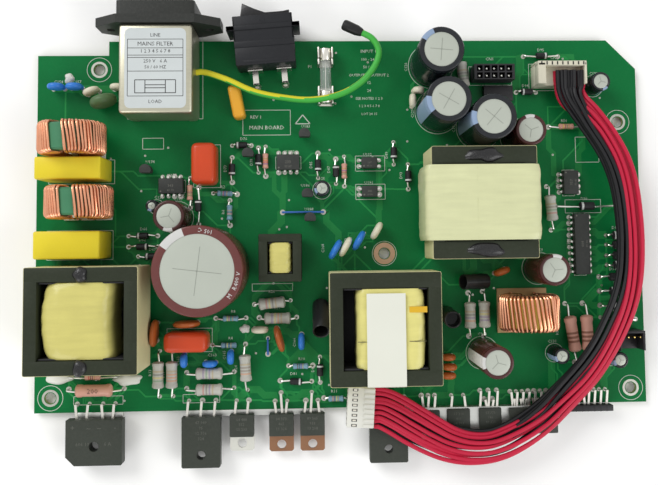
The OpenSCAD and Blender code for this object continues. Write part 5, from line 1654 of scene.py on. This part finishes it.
class PSU_OT_chips(bpy.types.Operator):
    """Builds the integrated circuits and small transistors"""

    bl_idname = "psu.chips"
    bl_label = "Chips"

    def execute(self, context):
        epoxy = finish("chip_epoxy", (0.035, 0.038, 0.036), 0.5, spread=0.16, patch=200, grain=4000, dust=0.16)
        mark = finish("chip_mark", (0.15, 0.15, 0.13), 0.5)
        tin = finish("chip_pins", (0.68, 0.67, 0.62), 0.3, metal=1.0, spread=0.15, dust=0.04)
        rng = random.Random(3)
        shape = Shape()
        for low, high in spans("moulded_packages"):
            wide, deep = high.x - low.x, high.y - low.y
            middle = (low + high) / 2
            if wide < 5.2 * MM and deep < 5.2 * MM:
                outline = []
                for k in range(21):
                    a = radians(-30 + 240 * k / 20)
                    outline.append((middle.x + 2.4 * MM * cos(a), low.y + 1.2 * MM + 2.4 * MM * sin(a)))
                shape.prism(outline, low.z, high.z, 0, 0.15 * MM)
                continue
            shape.box(low, high, 0, 0.3 * MM)
            long_x = wide > deep
            turn = 0 if long_x else 90
            size, level = min(wide, deep), high.z + 0.02 * MM
            spot = (middle.x, middle.y - 0.3 * deep) if long_x else (middle.x + 0.3 * wide, middle.y)
            text_mesh(f"{rng.randint(100, 999)}", size * 0.26, (middle.x, middle.y), turn, 1, shape, level)
            text_mesh(f"{rng.randint(10, 99)} {rng.randint(10, 99)}", size * 0.2, spot, turn, 1, shape, level)
            dot = (low.x + 0.9 * MM, low.y + 0.9 * MM) if long_x else (low.x + 0.9 * MM, high.y - 0.9 * MM)
            shape.pad(dot, 0, 0.35 * MM, high.z + 0.005 * MM, 1, 0.02 * MM, 14)
        shape.piece("chip_bodies", [epoxy, mark], ["moulded_packages"])
        pins = Shape()
        for points in solids("package_pins"):
            low, high = span(points)
            if high.x - low.x < 0.75 * MM and high.y - low.y < 0.75 * MM:
                middle = (low + high) / 2
                foot, head = (Vector((middle.x, middle.y, z)) for z in (low.z, high.z))
                pins.turned(foot, head, [(0, 0.25), (1, 0.25)], 0, 6)
                continue
            flat_lead(pins, points, 0.24 * MM, 0.14 * MM, 0.55)
        pins.piece("chip_pin_rows", [tin], ["package_pins"])
        return {"FINISHED"}


def flat_lead(shape, points, half, thick, shoulder=1.0):
    """A flat lead: a level run from the body and a narrower leg down through the board."""
    foot, top, end, _ = lead_parts(points)
    inward = Vector((end.x - top.x, end.y - top.y, 0))
    if inward.length < 0.05 * MM:
        return
    inward.normalize()
    across = inward.cross(Vector((0, 0, 1)))
    spin = Matrix((inward, across, Vector((0, 0, 1)))).transposed().to_4x4()
    run = (Vector((end.x, end.y, 0)) - Vector((top.x, top.y, 0))).length
    at = Matrix.Translation(Vector((top.x, top.y, top.z))) @ spin
    shape.box(
        (-thick, -half / max(shoulder, 0.5), -2 * thick), (run + 0.05 * MM, half / max(shoulder, 0.5), 0), 0,
        0.06 * MM, at, 1,
    )
    drop = top.z - foot.z
    shape.box((-thick, -half, -drop), (thick, half, -thick), 0, 0.06 * MM, at, 1)


class PSU_OT_edge(bpy.types.Operator):
    """Builds the bridge rectifier and the power devices that lie off the front edge"""

    bl_idname = "psu.edge"
    bl_label = "Edge devices"

    def execute(self, context):
        black = finish("package_epoxy", (0.034, 0.04, 0.032), 0.46, spread=0.16, patch=160, grain=4000, dust=0.18)
        white = finish("package_mark", (0.1, 0.105, 0.09), 0.5)
        tab = finish("copper_tab", (0.26, 0.13, 0.07), 0.36, metal=0.7, spread=0.25, patch=200, dust=0.1, bump=0.1)
        pale = finish("tinned_tab", (0.66, 0.66, 0.6), 0.34, metal=0.7, spread=0.15, patch=200, dust=0.08, bump=0.1)
        tin = finish("lead_tin", (0.68, 0.66, 0.6), 0.3, metal=1.0, spread=0.2, patch=400, bump=0.1)
        rail = finish(
            "rail_aluminium", (0.62, 0.63, 0.6), 0.4, metal=0.9, spread=0.12, patch=100, lines=(15.0, 1800.0, 1800.0),
            bump=0.12, dust=0.12,
        )
        rng = random.Random(23)
        shape = Shape()
        for index, (low, high) in enumerate(spans("power_packages")):
            hole = None
            if high.x - low.x > 15 * MM and high.y - low.y > 19 * MM:
                depth = 17 if index == 0 else 16
                hole = ((low.x + high.x) / 2 / MM, -depth - HOLE_IN_Y, 1.8)
            self.body(shape, low, high, hole, rng)
        shape.piece("power_device_bodies", [black, white], ["power_packages"])

        low, high = spans("bridge_rectifier")[0]
        shape = Shape()
        x0, y0, x1, y1 = rim(low, high)
        cut = 3.5
        outline = [(x0 + cut, y0), (x1 - 0.4, y0), (x1, y0 + 0.4), (x1, y1), (x0, y1), (x0, y0 + cut)]
        raise_outline(shape, outline, low.z / MM, high.z / MM, holes=[ring_points((x0 + x1) / 2, -12.5 - HOLE_IN_Y, 2)])
        for words, size, dx, dy in (
            ("+", 3.0, -8.5, 3), ("~   ~", 3.0, 0, 3.2), ("-", 3.0, 8.5, 3), ("606 10", 2.0, -4.5, 9.5),
            ("6 A", 2.0, 5.5, 9.5),
        ):
            text_mesh(words, size * MM, (((x0 + x1) / 2 + dx) * MM, (y1 - dy) * MM), 0, 1, shape, high.z + 0.03 * MM)
        shape.piece("bridge_body", [black, white], ["bridge_rectifier"])

        tabs = Shape()
        for index, (low, high) in enumerate(spans("power_tabs")):
            cx = (low.x + high.x) / 2 / MM
            hole_y = (-13.2 if index == 0 else -14) - HOLE_IN_Y
            x0, y0, x1, y1 = rim(low, high)
            outline = [(x0, y1), (x0, y0 + 0.8), (x0 + 0.8, y0), (x1 - 0.8, y0), (x1, y0 + 0.8), (x1, y1)]
            raise_outline(
                tabs, list(reversed(outline)), low.z / MM, high.z / MM, 1 if index == 0 else 0,
                holes=[ring_points(cx, hole_y, 1.85)],
            )
        tabs.piece("device_tabs", [tab, pale], ["power_tabs"])

        leads = Shape()
        for points in solids("power_leads"):
            flat_lead(leads, points, 0.4 * MM, 0.24 * MM, 0.8)
        leads.piece("device_leads", [tin], ["power_leads"])

        plain_boxes("aluminium_rail", "edge_rail", rail, 0.25)
        return {"FINISHED"}

    def body(self, shape, low, high, hole, rng):
        """One moulded device with bevelled sides, a screw hole if it has one, and plain marks."""
        if hole:
            x0, y0, x1, y1 = rim(low, high)
            outline = [(x0, y0 + 0.5), (x0 + 0.5, y0), (x1 - 0.5, y0), (x1, y0 + 0.5), (x1, y1), (x0, y1)]
            raise_outline(shape, outline, low.z / MM, high.z / MM, holes=[ring_points(*hole)])
        else:
            shape.box(low, high, 0, 0.45 * MM)
        middle = (low + high) / 2
        wide = high.x - low.x
        size = min(1.7 * MM, wide * 0.16)
        rows = 3 if high.y - low.y < 12 * MM else 4
        for i in range(rows):
            words = f"{rng.randint(10, 999)}" if i % 2 else f"{rng.randint(10, 99)} {rng.randint(100, 999)}"
            text_mesh(words, size, (middle.x, high.y - (2.0 * MM + i * size * 1.25)), 0, 1, shape, high.z + 0.02 * MM)


# ---- headers, plugs, sleeves and glue ----

class PSU_OT_headers(bpy.types.Operator):
    """Builds the headers, the pin strip and the output connector"""

    bl_idname = "psu.headers"
    bl_label = "Headers"

    def execute(self, context):
        black = finish("header_moulding", (0.022, 0.022, 0.025), 0.42, spread=0.2, dust=0.18, bump=0.1)
        gold = finish("header_gold", (0.7, 0.5, 0.16), 0.25, metal=1.0, dust=0.03)
        white = finish("connector_nylon", (0.66, 0.63, 0.5), 0.4, spread=0.08, dust=0.22, bump=0.1)
        tin = finish("header_tin", (0.6, 0.6, 0.55), 0.3, metal=0.9, dust=0.03)
        # near black for the gaps in the pin strip and the openings on the output connector: painted shade
        dark = finish("connector_gap_shade", (0.02, 0.02, 0.02), 0.7)
        shape = Shape()
        left, front, wide, deep, tall = 182.5, 135.5, 17, 6.5, 9
        flat = Matrix.Translation(place(left, front, 0))
        holes = []
        for i in range(5):
            for row in range(2):
                x, y = 2.3 + 3.1 * i, 1.7 + 3 * row
                holes.append([(x - 1.2, y - 1.2), (x + 1.2, y - 1.2), (x + 1.2, y + 1.2), (x - 1.2, y + 1.2)])
                shape.block(left + x - 0.35, front + y - 0.35, 2, left + x + 0.35, front + y + 0.35, tall - 1, 3, 0.12)
        raise_outline(shape, [(0, 0), (wide, 0), (wide, deep), (0, deep)], tall - 5, tall, 0, flat, holes=holes)
        shape.block(left, front, 0, left + wide, front + deep, tall - 4.98, 0, 0.2)
        for x in (left - 0.3, left + wide - 0.3):
            shape.block(x, front + 1.5, 0, x + 0.6, front + deep - 1.5, 4, 0, 0.15)
        # a low flat black block in front of the header, for a dark patch whose kind is not known
        shape.block(187.5, 127.5, 0, 200, 134, 3, 0, 0.3)
        left, front = 240, 22.5
        shape.block(left, front, 0, left + 11, front + 8, 2, 0, 0.2)
        shape.block(left, front + 7, 1.9, left + 11, front + 8, 9, 0, 0.2)
        for x in (left, left + 10):
            shape.block(x, front, 1.9, x + 1, front + 7.1, 9, 0, 0.2)
            shape.block(x + 0.2, front, 8.6, x + 0.8, front + 3, 9.3, 0, 0.1)
        row = 218.7
        shape.block(row - 1.5, -2.5, 0.5, row + 7 * 2.54 + 1.5, -0.02, 5.5, 0, 0.25)
        # thin dark strips across the pin strip: painted shade of its gaps
        for i in range(7):
            x = row + (i + 0.5) * 2.54
            shape.block(x - 0.12, -2.54, 0.48, x + 0.12, -0.01, 5.53, 2)
        shape.piece("header_set", [black, gold, dark, tin], ["header_bodies"])
        plain_boxes("header_pin_set", "header_pins", gold, 0.12)

        shape = Shape()
        left, front, wide, deep, tall = 208.5, 133, 20.5, 10, 12
        seat = tall - 4.6
        shape.block(left, front, 0, left + wide, front + deep - 1, seat, 0, 0.3)
        shape.block(left, front, seat - 0.5, left + 3.4, front + deep - 1, tall, 0, 0.4)
        shape.block(left + wide - 0.9, front, seat - 0.5, left + wide, front + deep - 1, tall, 0, 0.25)
        shape.block(left, front + deep - 2.4, seat - 0.5, left + wide, front + deep - 0.4, tall, 0, 0.3)
        shape.block(left, front + deep - 0.7, 0, left + wide, front + deep, tall - 4, 0, 0.2)
        # dark slots on the connector's top: painted shade of the contact openings
        for i in range(9):
            x = left + 1.6 + i * 2.2
            shape.block(x - 0.25, front + deep - 2.1, tall - 0.1, x + 0.25, front + deep - 0.7, tall + 0.08, 1)
        shape.piece("output_connector_body", [white, dark], ["output_connector"])
        return {"FINISHED"}


class PSU_OT_dressing(bpy.types.Operator):
    """Builds the heat-shrink sleeves and the beads of glue and sealant"""

    bl_idname = "psu.dressing"
    bl_label = "Sleeves and glue"

    def execute(self, context):
        shrink = finish("heat_shrink", (0.012, 0.013, 0.014), 0.34, spread=0.2, patch=90, bump=0.3, dust=0.16, coat=0.2)
        for number, points in enumerate(solids("heat_shrink_sleeves"), 1):
            foot, head, r = long_axis(points)
            if head.z < foot.z:
                foot, head = head, foot
            shape = Shape()
            shape.turned(foot, head, [
                (0, 0.75), (0.03, 0.95), (0.2, 1), (0.45, 0.96), (0.55, 0.99), (0.7, 0.94),
                (0.98, 0.98), (1.0, 0.93), (0.985, 0.82), (0.62, 0.8), (0.6, 0.2),
            ], 0, 24, unit=min(r, 3.5 * MM))
            shape.piece(f"shrink_sleeve_{number}", [shrink], ["heat_shrink_sleeves"])
        white = finish("hot_glue", (0.74, 0.74, 0.68), 0.3, patch=250, bump=0.25, dust=0.12, coat=0.3)
        black = finish(
            "black_sealant", (0.01, 0.01, 0.011), 0.16, spread=0.2, patch=250, bump=0.5, dust=0.02, coat=1.0,
            depth=0.0003,
        )
        for node, look, seed in (("glue_beads_white", white, 4), ("glue_beads_black", black, 6)):
            rng = random.Random(seed)
            shape = Shape()
            for low, high in spans(node):
                wide = 1.0
                if (low.y < place(0, 20).y) if look is white else (high.x > place(150, 0).x):
                    wide = 2.3
                self.blob(shape, (low + high) / 2, (high.x - low.x) / 2, low.z, high.z, rng, wide)
            shape.piece(node + "_set", [look], [node], smooth=60)
        return {"FINISHED"}

    def blob(self, shape, middle, r, low, high, rng, wide):
        """One irregular bead that wets the surface under it."""
        waves = [(n, rng.uniform(0.03, 0.12), rng.uniform(0, 6.28)) for n in (2, 3, 5)]
        rings = []
        sides = 28
        tall = max(high - low, 0.6 * MM)
        for share, level in (
            (1.12, 0), (1.08, 0.12), (0.98, 0.42), (0.8, 0.72), (0.55, 0.92), (0.25, 1.0), (0.03, 1.02),
        ):
            ring = []
            for k in range(sides):
                a = 2 * pi * k / sides
                wobble = 1 + sum(size * sin(n * a + p) for n, size, p in waves)
                reach = r * share * wobble
                x, y = middle.x + wide * reach * cos(a), middle.y + reach * sin(a)
                ring.append(Vector((x, y, low + tall * level)))
            rings.append(ring)
        shape.rings(rings, 0)


# ---- stage ----

def direct_view(tree):
    """One for what the camera sees straight, in a mirror or through glass, and nought for other light."""
    rays = tree.nodes.new("ShaderNodeLightPath").outputs
    seen = math_node(tree, "MAXIMUM", rays["Is Camera Ray"], rays["Is Glossy Ray"])
    return math_node(tree, "MAXIMUM", seen, rays["Is Transmission Ray"])


class PSU_OT_stage(bpy.types.Operator):
    """Makes the camera, the lights, the pale floor and the background"""

    bl_idname = "psu.stage"
    bl_label = "Stage"

    def execute(self, context):
        scene = context.scene
        data = bpy.data.cameras.new("camera")
        data.sensor_width = 36
        data.lens = 44.37
        data.shift_x = -0.0255
        data.shift_y = -0.0728
        data.clip_start = 0.01
        camera = bpy.data.objects.new("camera", data)
        camera.location = (-0.0113, 0.0614, 0.3425)
        camera.rotation_euler = (0.062, -0.037, -0.012)
        scene.collection.objects.link(camera)
        scene.camera = camera
        for name, where, size, power in (
            ("key_panel", (-0.9, 0.9, 0.9), 0.8, 12.5), ("fill_panel", (0.95, -0.5, 0.8), 0.9, 7.5),
            ("front_panel", (-0.6, -0.8, 0.6), 0.6, 3.0),
        ):
            lamp = bpy.data.lights.new(name, "AREA")
            lamp.size = size
            lamp.energy = power
            light = bpy.data.objects.new(name, lamp)
            light.location = where
            light.rotation_euler = (Vector(where) - Vector((0, 0.06, 0))).to_track_quat("Z", "Y").to_euler()
            scene.collection.objects.link(light)
        self.background(scene)
        self.floor(scene)
        scene.view_settings.view_transform = "Standard"
        return {"FINISHED"}

    def background(self, scene):
        """Even pale light from all round, white where the camera sees past the floor."""
        world = bpy.data.worlds.new("studio")
        world.use_nodes = True
        tree = world.node_tree
        background = tree.nodes["Background"]
        level = math_node(tree, "ADD", 0.5, math_node(tree, "MULTIPLY", direct_view(tree), 0.5))
        background.inputs["Color"].default_value = (1.0, 1.0, 1.0, 1.0)
        tree.links.new(level, background.inputs["Strength"])
        scene.world = world

    def floor(self, scene):
        """The plain floor under the solder joints."""
        low = min(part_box("solder_side")[0][2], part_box("inlet_flange")[0][2])
        mesh = bpy.data.meshes.new("floor")
        half = 3.0
        mesh.from_pydata(
            [(-half, -half, low), (half, -half, low), (half, half, low), (-half, half, low)], [], [(0, 1, 2, 3)],
        )
        floor = bpy.data.objects.new("floor", mesh)
        scene.collection.objects.link(floor)
        material = bpy.data.materials.new("pale_floor")
        material.use_nodes = True
        tree = material.node_tree
        shader = tree.nodes["Principled BSDF"]
        tree.links.new(
            mix_colour(tree, direct_view(tree), (0.8, 0.8, 0.78), (0.99, 0.99, 0.98)), shader.inputs["Base Color"],
        )
        shader.inputs["Roughness"].default_value = 0.9
        mesh.materials.append(material)


# ---- panel and registration ----

STEPS = (
    "stage", "cords", "board", "inlet", "switch", "rings", "transformers", "cans", "film",
    "discs", "axial", "chips", "edge", "headers", "dressing",
)


class PSU_PT_parts(bpy.types.Panel):
    """Lists the parts of the power supply with their sizes and colours"""

    bl_idname = "PSU_PT_parts"
    bl_label = "Power Supply"
    bl_space_type = "VIEW_3D"
    bl_region_type = "UI"
    bl_category = "Power Supply"

    def draw(self, context):
        layout = self.layout
        for step in STEPS:
            layout.operator(f"psu.{step}")
        for group in (context.scene.psu_sizes, context.scene.psu_looks):
            box = layout.box()
            for name in group.__annotations__:
                box.prop(group, name)


CLASSES = (
    PSULooks, PSUSizes, PSU_OT_stage, PSU_OT_cords, PSU_OT_board, PSU_OT_inlet, PSU_OT_switch, PSU_OT_rings,
    PSU_OT_transformers, PSU_OT_cans, PSU_OT_film, PSU_OT_discs, PSU_OT_axial, PSU_OT_chips, PSU_OT_edge,
    PSU_OT_headers, PSU_OT_dressing, PSU_PT_parts,
)


def register():
    """Registers the classes and the scene's property groups."""
    for cls in CLASSES:
        bpy.utils.register_class(cls)
    bpy.types.Scene.psu_looks = PointerProperty(type=PSULooks)
    bpy.types.Scene.psu_sizes = PointerProperty(type=PSUSizes)


def unregister():
    """Takes the classes and the property groups away again."""
    del bpy.types.Scene.psu_sizes
    del bpy.types.Scene.psu_looks
    for cls in reversed(CLASSES):
        bpy.utils.unregister_class(cls)


def main():
    """Builds the whole power supply."""
    register()
    for step in STEPS:
        getattr(bpy.ops.psu, step)()


if __name__ == "__main__":
    main()
